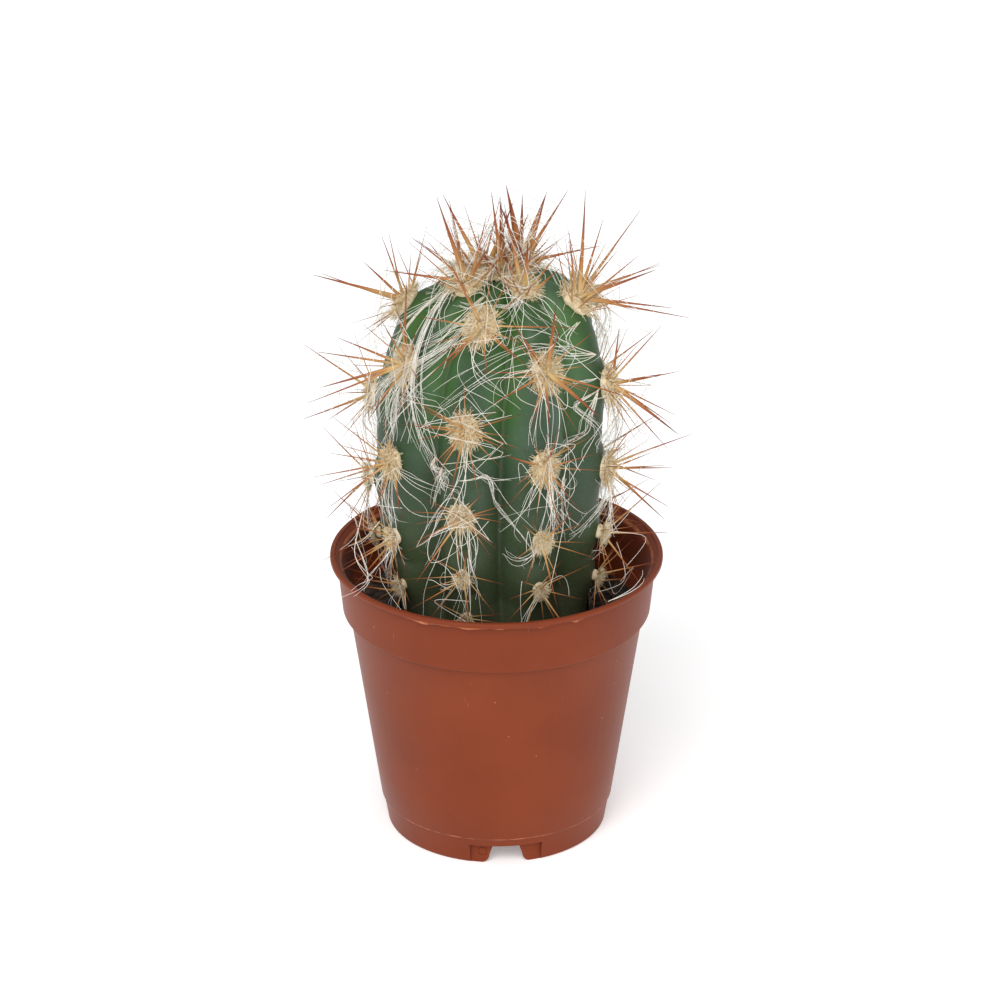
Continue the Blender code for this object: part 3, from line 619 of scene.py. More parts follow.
def markCutter(cutters):
    # a fine ring, turned about the way out of the wall
    azimuth, height, radius, thickness = potShape["mark"]
    bm = bmesh.new()
    ring = [bm.verts.new((radius + x, 0.0, y)) for x, y in roundCorner(0.0, 0.0, thickness, 0, 315, 7)]
    loop = [bm.edges.new((a, b)) for a, b in zip(ring, ring[1:] + ring[:1])]
    bmesh.ops.spin(bm, geom=ring + loop, cent=(0, 0, 0), axis=(0, 0, 1), angle=math.tau, steps=32,
                   use_merge=True)
    bmesh.ops.rotate(bm, cent=(0, 0, 0), matrix=Matrix.Rotation(math.pi / 2, 3, "X"), verts=bm.verts)
    bmesh.ops.translate(bm, vec=(0, potShape["panelDepth"] - potShape["ringRadius"], height), verts=bm.verts)
    addCutter("markCutter", bm, azimuth, cutters)


def addCutter(name, bm, azimuth, cutters):
    turn = Matrix.Rotation(math.radians(azimuth), 3, "Z")
    bmesh.ops.rotate(bm, cent=(0, 0, 0), matrix=turn, verts=bm.verts)
    bmesh.ops.recalc_face_normals(bm, faces=bm.faces)
    cutters.objects.link(bpy.data.objects.new(name, asMesh(name, bm)))


def makePot():
    s = potShape
    bm = bmesh.new()
    verts = [bm.verts.new((r, 0.0, z)) for r, z in potProfile()]
    edges = [bm.edges.new(pair) for pair in zip(verts, verts[1:])]
    bmesh.ops.spin(bm, geom=verts + edges, cent=(0, 0, 0), axis=(0, 0, 1), angle=math.tau,
                   steps=s["sides"], use_merge=True)
    bmesh.ops.remove_doubles(bm, verts=bm.verts, dist=1e-4)
    bmesh.ops.recalc_face_normals(bm, faces=bm.faces)
    hangFlash(bm)
    blank = bpy.data.objects.new("potBlank", asMesh("potBlank", bm))
    bpy.context.scene.collection.objects.link(blank)
    cutters = bpy.data.collections.new("potCutters")
    bpy.context.scene.collection.children.link(cutters)
    for i in range(s["notchCount"]):
        azimuth = s["notchAzimuth"] + i * 360 / s["notchCount"]
        notchCutter(azimuth, cutters)
        panelCutter(azimuth, cutters)
        hole = bmesh.new()
        middle = Matrix.Translation((0, -s["drainRing"], s["floorTopZ"]))
        bmesh.ops.create_cone(hole, cap_ends=True, segments=s["drainSides"], radius1=s["drainRadius"],
                              radius2=s["drainRadius"], depth=s["cutterReach"], matrix=middle)
        addCutter("drainCutter", hole, azimuth, cutters)
    markCutter(cutters)
    cut = blank.modifiers.new("openings", "BOOLEAN")
    cut.operation, cut.operand_type, cut.collection, cut.solver = "DIFFERENCE", "COLLECTION", cutters, "EXACT"
    mesh = evaluatedMesh(blank)
    for item in [blank, *cutters.objects]:
        bpy.data.objects.remove(item)
    bpy.data.collections.remove(cutters)
    addPiece("nurseryPot", mesh, [plastic], ["pot"])
    mesh.set_sharp_from_angle(angle=math.radians(38))


makePot()


# Stem

stemShape = {
    "ribs": (-53.0, -13.0, 25.5, 73.0, 118.0, 163.0, 210.0, 261.0),  # degrees from the front
    "topZ": 98.4,
    "widestZ": 70.0,
    "radius": 18.7,
    "soilZ": 38.5,
    "soilRadius": 15.3,
    "rootZ": 28.0,
    "domePower": 2.7,
    "rootPower": 3.0,
    "ribDepth": 3.3,
    "ribFullArc": 12.0,
    "ribFadeZ": 46.0,
    "tubercleRise": 0.8,
    "tubercleLength": 3.2,
    "leanLeast": -1.2,
    "leanCurve": 0.0018,
    "leanZ": 60.0,
    "perRib": 24,
    "rows": 200,
    "rootRows": 8,
    "meridianSteps": 400,
    "dimple": 0.16,       # mm, soft unevenness of the skin
    "dimpleSize": 5.0,
    "browDepth": 0.3,     # the crease above each areole
}
ribCount = len(stemShape["ribs"])


def lean(z):
    s = stemShape
    return s["leanLeast"] + s["leanCurve"] * (max(z, s["soilZ"]) - s["leanZ"]) ** 2


def stemRadius(z):
    s = stemShape
    if z >= s["widestZ"]:
        share = (z - s["widestZ"]) / (s["topZ"] - s["widestZ"])
        return s["radius"] * max(0.0, 1 - share ** s["domePower"]) ** (1 / s["domePower"])
    if z >= s["soilZ"]:
        return mixed(s["radius"], s["soilRadius"], ((s["widestZ"] - z) / (s["widestZ"] - s["soilZ"])) ** 2)
    share = (s["soilZ"] - z) / (s["soilZ"] - s["rootZ"])
    return s["soilRadius"] * math.sqrt(max(0.0, 1 - share ** s["rootPower"]))


def stemMeridian():
    # the crest line from the top down to the soil, as (arc length, radius, height)
    s = stemShape
    steps = s["meridianSteps"]
    points = []
    for i in range(steps + 1):
        turn = math.pi / 2 * (1 - i / steps)
        r = s["radius"] * max(0.0, math.cos(turn)) ** (2 / s["domePower"])
        points.append((r, s["widestZ"] + (s["topZ"] - s["widestZ"]) * math.sin(turn) ** (2 / s["domePower"])))
    heights = [mixed(s["widestZ"], s["soilZ"], i / steps) for i in range(1, steps + 1)]
    points += [(stemRadius(z), z) for z in heights]
    line = [(0.0, *points[0])]
    for (r0, z0), (r1, z1) in zip(points, points[1:]):
        line.append((line[-1][0] + math.hypot(r1 - r0, z1 - z0), r1, z1))
    return line


meridian = stemMeridian()
stemArc = meridian[-1][0]


def crestAt(arc):
    # radius, height and outward slope of the crest line at an arc length from the top
    arc = clamped(arc, 0.0, stemArc - 1e-6)
    after = next(i for i, row in enumerate(meridian) if row[0] > arc)
    low, high = meridian[after - 1], meridian[after]
    share = (arc - low[0]) / (high[0] - low[0])
    slope = math.atan2(high[1] - low[1], low[2] - high[2])
    return mixed(low[1], high[1], share), mixed(low[2], high[2], share), slope


areoleRule = {
    "count": 42,
    "phase": 6,
    "ribsOn": 3,            # each areole follows the last by three ribs
    "widestStep": 13,
    "step": 1.97,
    "narrowing": 0.0026,
    "leastStep": 1.0,
    "leads": (-4.5, -1.6, 0.6, 1.6, -0.8, 1.2, -1.5, -4.0),
    "leadEnds": 34,
    "lowestZ": 42.5,
    "topmostArc": 0.6,
    "padTop": 4.4,
    "padUpper": 5.6,
    "padLow": 3.0,
    "upperIndex": 9,
    "padStretch": 1.2,
    "padThickness": 1.6,
    "padSink": 0.1,
    "crownIndex": 9,
}


def areoleArcs():
    # arc length, rib and index of each areole, from the youngest at the top
    s = areoleRule
    arcs, arc = [], 0.0
    for index in range(s["count"]):
        rib = s["ribsOn"] * (index - s["phase"]) % ribCount
        lead = s["leads"][rib] * max(0.0, 1 - index / s["leadEnds"]) * min(1.0, index / ribCount)
        place = max(s["topmostArc"], arc + lead)
        if crestAt(place)[1] >= s["lowestZ"]:
            arcs.append((place, rib, index))
        arc += max(s["leastStep"], s["step"] - s["narrowing"] * (index - s["widestStep"]) ** 2)
    return arcs


areoles = areoleArcs()


def nearestRib(angle):
    # the rib that an angle lies on, and its share of the way from the crest to the groove
    turns = [(angle - math.radians(rib) + math.pi) % math.tau - math.pi for rib in stemShape["ribs"]]
    rib = min(range(ribCount), key=lambda i: abs(turns[i]))
    beside = (rib + (1 if turns[rib] > 0 else -1)) % ribCount
    gap = math.radians(stemShape["ribs"][beside] - stemShape["ribs"][rib])
    return rib, abs(turns[rib]) / (abs((gap + math.pi) % math.tau - math.pi) / 2)


def stemPoint(angle, arc, fine=False):
    # a point of the skin above the soil; fine adds the creases and dimples that only show close up
    s = stemShape
    crest, z, slope = crestAt(arc)
    rib, across = nearestRib(angle)
    fade = clamped((z - s["soilZ"]) / (s["ribFadeZ"] - s["soilZ"]))
    depth = s["ribDepth"] * min(1.0, arc / s["ribFullArc"]) * fade
    rise = crease = 0.0
    for place, areoleRib, index in areoles:
        if areoleRib == rib and index >= areoleRule["crownIndex"]:
            rise = max(rise, math.exp(-(((arc - place) / s["tubercleLength"]) ** 2)))
            crease = max(crease, math.exp(-(((arc - place + 4.1) / 0.7) ** 2)))
    swell = s["tubercleRise"] * rise * (1 - across * across) ** 2 - depth * across * across
    if fine:
        swell -= s["browDepth"] * crease * max(0.0, 1 - across / 0.55)
        spot = Vector((crest * math.sin(angle), crest * math.cos(angle), z)) / s["dimpleSize"]
        swell += s["dimple"] * noise.noise(spot) * clamped(arc / 6)
    r = crest + swell * math.cos(slope)
    z += swell * math.sin(slope)
    return Vector((lean(z) + r * math.sin(angle), -r * math.cos(angle), z))


def stemColumnAngle(column):
    # even steps from each rib's crest to the next one's
    rib, step = divmod(column, stemShape["perRib"])
    here = stemShape["ribs"][rib]
    gap = (stemShape["ribs"][(rib + 1) % ribCount] - here) % 360
    return math.radians(here + gap * step / stemShape["perRib"])


def placeStem(column, row):
    s = stemShape
    angle = stemColumnAngle(column)
    if row <= s["rows"]:
        return stemPoint(angle, stemArc * row / s["rows"], True)
    z = mixed(s["soilZ"], s["rootZ"], math.sin(math.pi / 2 * (row - s["rows"]) / s["rootRows"]))
    r = stemRadius(z) if row < s["rows"] + s["rootRows"] else 0.0
    return Vector((lean(z) + r * math.sin(angle), -r * math.cos(angle), z))


def makeStem():
    s = stemShape
    bm = wrappedGrid(s["perRib"] * ribCount, s["rows"] + s["rootRows"], placeStem)
    marks = []
    for vert in bm.verts:
        x, y, z = vert.co
        across = nearestRib(math.atan2(x - lean(z), -y))[1]
        height = clamped((z - s["soilZ"]) / (s["topZ"] - s["soilZ"]))
        young = clamped((across - 0.3) / 0.45) * clamped((height - 0.52) / 0.3)
        marks += [across, height, young * mixed(0.7, 0.45, clamped((height - 0.85) / 0.15)), 1.0]
    mesh = asMesh("stem", bm)
    mesh.attributes.new("skinPlace", "FLOAT_COLOR", "POINT").data.foreach_set("color", marks)
    addPiece("cactusStem", mesh, [skin], ["cactus"])


makeStem()


# Soil

soilShape = {
    "heap": 0.5,
    "holeGap": 0.4,
    "wallGap": 0.05,
    "columns": 160,
    "holeRows": 6,
    "topRows": 30,
    "relief": 0.55,       # mm, clods
    "fineRelief": 0.25,
    "floorGap": 0.3,
    "crumbs": 900,
    "crumbSize": (0.25, 0.9),
    "fibres": 160,
    "seed": 31,
}


def soilTop(x, y):
    # height of the soil's surface
    s = soilShape
    wall = innerRadius(stemShape["soilZ"]) - s["wallGap"]
    share = clamped((math.hypot(x, y) - stemShape["soilRadius"]) / (wall - stemShape["soilRadius"]))
    clods = s["relief"] * noise.noise(Vector((x, y, 0.0)) / 2.6)
    clods += s["fineRelief"] * noise.noise(Vector((x, y, 9.0)) / 0.8)
    return stemShape["soilZ"] + s["heap"] * (0.5 - share) + clods - 0.15


def placeSoil(column, row):
    # rows run down into the stem's hole from the surface's inner edge, and out, down and under the other way
    s = soilShape
    angle = math.tau * column / s["columns"]
    stemX = lean(stemShape["soilZ"])
    hole = stemShape["soilRadius"] + s["holeGap"]
    wall = innerRadius(stemShape["soilZ"]) - s["wallGap"]
    floorZ = potShape["floorTopZ"] + s["floorGap"]
    if row == 0:
        return Vector((stemX, 0.0, stemShape["rootZ"] - s["holeGap"]))
    if row <= s["holeRows"]:
        z = mixed(stemShape["rootZ"], stemShape["soilZ"], row / s["holeRows"]) - s["holeGap"]
        r = mixed(hole * 0.75, hole, (row / s["holeRows"]) ** 0.5)
        return Vector((stemX + r * math.sin(angle), -r * math.cos(angle), z))
    step = row - s["holeRows"] - 1
    if step <= s["topRows"]:
        share = step / s["topRows"]
        r, middle = mixed(hole, wall, share), mixed(stemX, 0.0, share)
        x, y = middle + r * math.sin(angle), -r * math.cos(angle)
        return Vector((x, y, soilTop(x, y)))
    if step <= s["topRows"] + 2:
        z = mixed(stemShape["soilZ"] - 1.2, floorZ, step - s["topRows"] - 1)
        r = innerRadius(z) - s["wallGap"] - s["floorGap"] * (step - s["topRows"] - 1)
        return Vector((r * math.sin(angle), -r * math.cos(angle), z))
    return Vector((0.0, 0.0, floorZ))


def crumbPlace(rng, s):
    # a spot of the soil's surface between the stem and the pot's wall
    angle = rng.uniform(0, math.tau)
    nearest = stemShape["soilRadius"] + 0.3
    farthest = innerRadius(stemShape["soilZ"]) - 0.5
    r = math.sqrt(rng.uniform(nearest ** 2, farthest ** 2))
    x, y = r * math.sin(angle), -r * math.cos(angle)
    return Vector((x, y, soilTop(x, y)))


def makeSoil():
    s = soilShape
    rng = random.Random(s["seed"])
    bm = wrappedGrid(s["columns"], s["holeRows"] + 1 + s["topRows"] + 3, placeSoil)
    for _ in range(s["crumbs"]):
        size = mixed(*s["crumbSize"], rng.random() ** 3)
        angle = rng.uniform(0, math.tau)
        turn = Matrix.Rotation(angle, 4, Vector((rng.gauss(0, 1), rng.gauss(0, 1), rng.gauss(0, 1))))
        sides = (size * rng.uniform(0.6, 1.2), size * rng.uniform(0.5, 1.0), size * rng.uniform(0.3, 0.7))
        shape = Matrix.Diagonal((*sides, 1))
        spot = crumbPlace(rng, s)
        place = Matrix.Translation(spot) @ turn @ shape
        grown = bmesh.ops.create_icosphere(bm, subdivisions=1, radius=1.0, matrix=place)
        for vert in grown["verts"]:
            vert.co += Vector((rng.uniform(-1, 1), rng.uniform(-1, 1), rng.uniform(-1, 1))) * size * 0.16
    addPiece("peatSoil", asMesh("peatSoil", bm), [peat], ["soil"])
    strands = []
    for _ in range(s["fibres"]):
        spot = crumbPlace(rng, s) + Vector((0, 0, 0.15))
        heading = rng.uniform(0, math.tau)
        points = [spot]
        for _ in range(6):
            heading += rng.uniform(-0.6, 0.6)
            step = Vector((math.cos(heading), math.sin(heading), rng.uniform(-0.25, 0.35)))
            step *= rng.uniform(0.25, 0.6)
            following = points[-1] + step
            reach = math.hypot(following.x, following.y)
            if not stemShape["soilRadius"] + 0.4 < reach < innerRadius(39.0) - 0.4:
                break
            following.z = max(following.z, soilTop(following.x, following.y))
            points.append(following)
        if len(points) > 2:
            strands.append((points, [rng.uniform(0.04, 0.1)] * len(points), 0))
    addPiece("peatFibres", strandMesh("peatFibres", strands, 4), [peat])


makeSoil()


# Areoles: the woolly pads

def padWidth(index):
    s = areoleRule
    if index < s["upperIndex"]:
        return mixed(s["padTop"], s["padUpper"], index / s["upperIndex"])
    return mixed(s["padUpper"], s["padLow"], (index - s["upperIndex"]) / (s["count"] - s["upperIndex"]))


def outward(angle, slope):
    return Vector((math.sin(angle) * math.cos(slope), -math.cos(angle) * math.cos(slope), math.sin(slope)))


def areoleFrame(arc, rib):
    # origin on the skin, with the columns across, up the rib and outwards
    angle = math.radians(stemShape["ribs"][rib])
    normal = outward(angle, crestAt(arc)[2])
    across = Vector((math.cos(angle), math.sin(angle), 0.0))
    made = Matrix((across, normal.cross(across), normal)).transposed().to_4x4()
    made.translation = stemPoint(angle, arc)
    return made


areoleFrames = [(areoleFrame(arc, rib), rib, index) for arc, rib, index in areoles]

padLook = {
    "core": (0.84, 0.62),  # the felted core's width and thickness, as shares of the pad's
    "lump": 0.22,          # how uneven the core is, in mm
    "fibres": 640,
    "crownFibres": 300,
    "fibreLength": (0.6, 1.4),
    "crownFibreLength": (0.8, 1.8),
    "fibreRadius": 0.055,
    "lowShare": 0.6,       # the lowest pads are thinner
    "shrunk": (22, 32, 0.6),  # from the first of these areoles to the second they shrink to this share
    "droop": 0.2,          # the wool hangs to the pad's lower end
    "blushReach": 6.0,     # mm from the crown's middle
    "seed": 77,
}


def padPoint(frameHere, index, turn, place):
    # a point on the pad's dome at a turn round it and a share of its width
    s = areoleRule
    half = padWidth(index) / 2
    x, y = math.cos(turn) * half * place, math.sin(turn) * half * place * s["padStretch"]
    z = s["padThickness"] * math.sqrt(max(0.0, 1 - place * place)) - s["padSink"]
    return frameHere @ Vector((x, y, z))


def fullness(index):
    # how much of its width an old pad still fills
    first, last, least = padLook["shrunk"]
    return mixed(1.0, least, clamped((index - first) / (last - first)))


def gaussVector(rng):
    return Vector((rng.gauss(0, 1), rng.gauss(0, 1), rng.gauss(0, 1)))


def bentStrand(rng, root, heading, length, radius, segments, bow, finish, taper=1.0):
    # a strand that leaves its root along heading and bends aside by bow
    aside = heading.orthogonal().normalized()
    aside.rotate(Matrix.Rotation(rng.uniform(0, math.tau), 3, heading))
    points, radii = [], []
    for i in range(segments + 1):
        share = i / segments
        points.append(root + heading * length * share + aside * bow * length * share * share)
        radii.append(max(0.025, radius * (1 - share) ** taper))
    return points, radii, finish


def padFibres(rng, frameHere, index):
    s, rule = padLook, areoleRule
    crown = index < rule["crownIndex"]
    age = index / rule["count"]
    count = s["crownFibres"] if crown else int(s["fibres"] * mixed(1.0, s["lowShare"], age))
    strands = []
    for _ in range(count):
        turn, place = rng.uniform(0, math.tau), math.sqrt(rng.random()) * 0.97 * fullness(index)
        root = padPoint(frameHere, index, turn, place)
        root -= frameHere.col[2].to_3d() * (1 - s["core"][1]) * rule["padThickness"] * 0.6
        dome = Vector((math.cos(turn) * place, math.sin(turn) * place - s["droop"], 0.3 + 0.5 * (1 - place)))
        wild = Vector((rng.gauss(0, 0.3), rng.gauss(0, 0.3), rng.gauss(0, 0.25)))
        heading = (frameHere.to_3x3() @ (dome + wild)).normalized()
        length = rng.uniform(*(s["crownFibreLength"] if crown else s["fibreLength"])) * mixed(1.0, 0.75, age)
        length *= 1 + s["droop"] * max(0.0, -math.sin(turn)) * place
        fromMiddle = math.hypot(root.x - lean(root.z), root.y)
        blush = crown and rng.random() > fromMiddle / s["blushReach"]
        bow = rng.uniform(0, 0.6) * crown
        segments = 2 if crown else 1
        radius = s["fibreRadius"]
        strands.append(bentStrand(rng, root, heading, length, radius, segments, bow, int(blush), 0.7))
    return strands


def makePads():
    s, rule = padLook, areoleRule
    bm = bmesh.new()
    wool = {"crownWool": [], "areoleWoolFibres": []}
    width, thickness = s["core"]
    for frameHere, rib, index in areoleFrames:
        rng = random.Random(s["seed"] + index)
        half = padWidth(index) / 2 * width * fullness(index)
        size = Matrix.Diagonal((half, half * rule["padStretch"], rule["padThickness"] * thickness, 1))
        grown = bmesh.ops.create_icosphere(bm, subdivisions=3, radius=1.0, matrix=frameHere @ size)
        middle = frameHere.translation
        for vert in grown["verts"]:
            vert.co += (vert.co - middle).normalized() * s["lump"] * noise.noise(vert.co / 1.3)
        name = "crownWool" if index < rule["crownIndex"] else "areoleWoolFibres"
        wool[name] += padFibres(rng, frameHere, index)
    addPiece("areoleWool", asMesh("areoleWool", bm), [felt])
    for name, strands in wool.items():
        addPiece(name, strandMesh(name, strands, 4), [felt, crownFelt])


makePads()


# Spines

spineRule = {
    "seed": 5200,
    "radials": 7,
    "radialLength": (7.0, 10.5),
    "radialAtFoot": 0.8,
    "radialRise": (18.0, 36.0),
    "radialPlace": 0.8,
    "radialSway": 9.0,
    "centralTop": (12.0, 16.5),
    "centralLow": (7.5, 10.5),
    "centralRise": (36.0, 66.0),
    "centralPlace": 0.34,
    "centralSway": 35.0,
    "centralCounts": (2, 3, 3),
    "crownCentrals": 2,
    "crownLift": 0.6,
    "youngIndex": 6,
    "youngRadial": 0.6,       # the youngest areoles' radials have reached this share of their length
    "spread": 31.5,
    "topZ": 115.0,
    "tipsZ": 113.6,           # height of the tips at the axis: they are lower towards the back
    "tipsFall": 0.46,
    "tipsBeforeY": -2.0,
    "crownTipsZ": 107.0,      # spines that would end higher stop at a share of their length
    "crownTipsShare": (0.72, 0.94),
    "crownTipsSeed": 901,
    "clearance": 0.8,
    "clearSteps": 8,
    "turnUp": 0.1,
    "mostTurnUps": 20,
    "soilHeap": 0.5,
}

spineLook = {
    "radialRadius": 0.155,
    "centralRadius": 0.28,
    "youngRadius": (0.26, 0.58),   # radials and centrals of the youngest areoles, which are still swollen
    "sink": 0.7,
    "segments": 6,
    "bow": 0.04,
    "taper": 0.78,
    "awl": 0.95,              # the taper of a young spine, wide at its base
    "slimmer": 0.6,           # the oldest spines' radius, as a share of the others'
    "shownRadius": 0.82,
    "thinCount": 4,           # finer spines round each pad, between the others
    "thinOut": 27,            # the areole from which there are half as many
    "thinLength": (5.0, 9.0),
    "thinRise": (6.0, 26.0),
    "thinRadius": 0.105,
    "thinSeed": 900,
}


def spineIsClear(root, heading, length):
    # true when a spine keeps off the pot's wall and lip and off the soil
    s = spineRule
    for step in range(1, s["clearSteps"] + 1):
        point = root + heading * (length * step / s["clearSteps"])
        wall = innerRadius(min(point.z, potShape["height"])) - s["clearance"]
        if point.z < stemShape["soilZ"] + s["soilHeap"] + s["clearance"]:
            return False
        if point.z < potShape["height"] + s["clearance"] and math.hypot(point.x, point.y) > wall:
            return False
    return True


def clearHeading(root, heading, length):
    for _ in range(spineRule["mostTurnUps"]):
        if spineIsClear(root, heading, length):
            return heading
        heading = (heading + Vector((0, 0, spineRule["turnUp"]))).normalized()
    return None


def trimmedLength(root, heading, length):
    # a spine ends at the plant's spread and top
    s = spineRule
    for axis, limit in ((0, s["spread"]), (1, s["spread"]), (2, s["topZ"])):
        end = root[axis] + heading[axis] * length
        if abs(end) > limit:
            length = (math.copysign(limit, end) - root[axis]) / heading[axis]
    climb = heading.z + s["tipsFall"] * heading.y
    if climb > 0:
        length = min(length, (s["tipsZ"] - root.z - s["tipsFall"] * root.y) / climb)
    return length


def spinePlan(index, rng):
    # each spine of an areole as (turn about the pad, rise, length, is central, place on the pad)
    s = spineRule
    plan = []
    age = index / areoleRule["count"]
    grown = s["youngRadial"] if index < s["youngIndex"] else 1.0
    start = rng.uniform(0, 360 / s["radials"])
    for i in range(s["radials"]):
        turn = start + i * 360 / s["radials"] + rng.uniform(-s["radialSway"], s["radialSway"])
        length = rng.uniform(*s["radialLength"]) * mixed(1.0, s["radialAtFoot"], age) * grown
        plan.append((turn, rng.uniform(*s["radialRise"]), length, False, s["radialPlace"]))
    centrals = s["crownCentrals"] if index < areoleRule["crownIndex"] else rng.choice(s["centralCounts"])
    for i in range(centrals):
        turn = 90 + i * 360 / centrals + rng.uniform(-s["centralSway"], s["centralSway"])
        shortest = mixed(s["centralTop"][0], s["centralLow"][0], age)
        length = rng.uniform(shortest, mixed(s["centralTop"][1], s["centralLow"][1], age))
        plan.append((turn, rng.uniform(*s["centralRise"]), length, True, s["centralPlace"]))
    return plan


def plannedSpines(frameHere, index, plan):
    # spines of one areole as [root, heading, length, is central]
    lift = Vector((0, 0, spineRule["crownLift"] if index < areoleRule["crownIndex"] else 0.0))
    spines = []
    for turn, rise, length, central, place in plan:
        turn, rise = math.radians(turn), math.radians(rise)
        root = padPoint(frameHere, index, turn, place)
        local = Vector((math.cos(turn) * math.cos(rise), math.sin(turn) * math.cos(rise), math.sin(rise)))
        heading = clearHeading(root, (frameHere.to_3x3() @ local + lift).normalized(), length)
        if heading:
            spines.append([root, heading, trimmedLength(root, heading, length), central])
    return spines


def evenSpread(spines):
    # the widest spine on each of the plant's four sides grows to the same spread, and the highest tip in
    # front of the axis to the plant's height
    s = spineRule
    for axis in (0, 1):
        for side in (-1, 1):
            widest = max(spines, key=lambda spine: side * (spine[0][axis] + spine[1][axis] * spine[2]))
            widest[2] = (side * s["spread"] - widest[0][axis]) / widest[1][axis]
    inFront = [spine for spine in spines if spine[0].y + spine[1].y * spine[2] < s["tipsBeforeY"]]
    highest = max(inFront, key=lambda spine: spine[0].z + spine[1].z * spine[2])
    highest[2] = (s["topZ"] - highest[0].z) / highest[1].z


def spineStrand(rng, root, heading, length, radius, finish):
    s = spineLook
    sunk = root - heading * s["sink"]
    bow = rng.uniform(-1, 1) * s["bow"]
    taper = s["awl"] if finish == bright else s["taper"]
    return bentStrand(rng, sunk, heading, length + s["sink"], radius, s["segments"], bow, finish, taper)


def thinPlan(index, rng):
    s = spineLook
    age = index / areoleRule["count"]
    plan = []
    full = spineRule["youngIndex"] <= index < s["thinOut"]
    count = s["thinCount"] if full else s["thinCount"] // 2
    for i in range(count):
        turn = (i + rng.random()) * 360 / count
        length = rng.uniform(*s["thinLength"]) * mixed(1.0, spineRule["radialAtFoot"], age)
        plan.append((turn, rng.uniform(*s["thinRise"]), length, False, 0.85))
    return plan


# the spines that stand out in the photograph: root and tip in its pixels, least length and root radius in mm
shownSpines = {
    "crownLeft": (476, 303, 428, 184, 21.0, 0.58),
    "crownMiddle": (518, 268, 507, 181, 15.0, 0.95),
    "crownMiddleShort": (523, 270, 521, 246, 8.0, 0.9),
    "crownMiddleLeft": (505, 268, 497, 214, 11.0, 0.62),
    "crownMiddleBack": (512, 262, 499, 200, 12.0, 0.5),
    "crownRightTall": (565, 277, 588, 190, 15.0, 0.5),
    "crownRightInner": (542, 267, 569, 190, 13.0, 0.45),
    "crownBackLeft": (479, 254, 500, 196, 10.0, 0.3),
    "crownBackLeftThin": (489, 246, 465, 205, 8.0, 0.25),
    "crownFrontUpright": (487, 296, 489, 247, 12.0, 0.5),
    "crownRightFlat": (555, 275, 605, 219, 12.0, 0.4),
    "shoulderRightA": (545, 275, 600, 244, 10.0, 0.42),
    "shoulderRightB": (586, 285, 617, 251, 9.0, 0.3),
    "shoulderRightLong": (576, 303, 657, 271, 14.0, 0.55),
    "shoulderRightThin": (606, 300, 659, 263, 11.0, 0.3),
    "sideRightA": (591, 310, 673, 308, 14.0, 0.4),
    "sideRightB": (604, 323, 690, 318, 14.5, 0.36),
    "sideRightC": (609, 387, 679, 373, 12.0, 0.34),
    "sideRightD": (604, 387, 662, 373, 10.0, 0.42),
    "sideRightLong": (612, 399, 680, 433, 13.0, 0.55),
    "sideRightE": (613, 393, 676, 415, 11.0, 0.25),
    "sideRightUp": (604, 371, 620, 327, 9.0, 0.4),
    "lowRightA": (606, 468, 664, 465, 10.0, 0.25),
    "lowRightB": (606, 468, 652, 453, 8.0, 0.25),
    "lowRightLong": (609, 471, 664, 519, 13.0, 0.4),
    "sideLeftLong": (400, 301, 313, 274, 15.5, 0.5),
    "sideLeftDark": (407, 296, 364, 262, 10.0, 0.45),
    "crownLeftFlat": (443, 280, 383, 271, 11.0, 0.4),
    "crownLeftThinA": (438, 257, 412, 235, 8.0, 0.24),
    "crownLeftThinB": (418, 290, 389, 233, 11.0, 0.26),
    "upperLeftUpright": (410, 346, 407, 281, 12.5, 0.42),
    "sideLeftA": (397, 369, 320, 387, 13.5, 0.5),
    "sideLeftB": (394, 374, 308, 405, 15.0, 0.32),
    "sideLeftC": (402, 359, 338, 337, 11.5, 0.36),
    "lowLeftA": (384, 461, 330, 453, 9.0, 0.25),
    "lowLeftB": (389, 463, 315, 478, 12.5, 0.26),
    "lowLeftC": (387, 466, 331, 506, 11.5, 0.3),
    "frontDownRight": (551, 382, 603, 417, 14.0, 0.6),
    "frontUp": (547, 354, 557, 300, 12.0, 0.5),
    "frontUpLeft": (540, 361, 512, 321, 10.0, 0.42),
    "frontDownLeft": (536, 385, 489, 407, 11.0, 0.3),
    "frontLeftThin": (534, 372, 477, 373, 10.5, 0.24),
    "frontRightThin": (505, 328, 583, 328, 15.0, 0.26),
    "frontDarkRight": (492, 340, 527, 367, 10.0, 0.36),
    "frontDark": (474, 340, 425, 381, 12.0, 0.34),
    "middleUp": (463, 425, 452, 396, 8.0, 0.2),
    "middleLeft": (458, 430, 400, 424, 10.5, 0.24),
    "middleDownLeft": (460, 440, 436, 468, 8.0, 0.2),
    "middleRight": (476, 430, 521, 413, 9.0, 0.22),
    "middleFlatRight": (474, 438, 515, 452, 8.5, 0.2),
    "rightMiddleUp": (547, 460, 560, 425, 8.0, 0.22),
    "rightMiddleLeft": (538, 465, 497, 455, 9.0, 0.2),
    "rightMiddleDown": (551, 478, 578, 510, 9.0, 0.24),
    "rightMiddleRight": (558, 465, 600, 452, 9.5, 0.2),
    "lowMiddleLeft": (452, 520, 412, 545, 9.5, 0.2),
    "lowMiddleRight": (470, 515, 510, 505, 8.5, 0.18),
    "potLeftA": (387, 541, 344, 565, 8.5, 0.2),
    "potLeftB": (390, 541, 406, 557, 5.0, 0.17),
    "potLeftC": (388, 543, 399, 580, 8.0, 0.16),
}


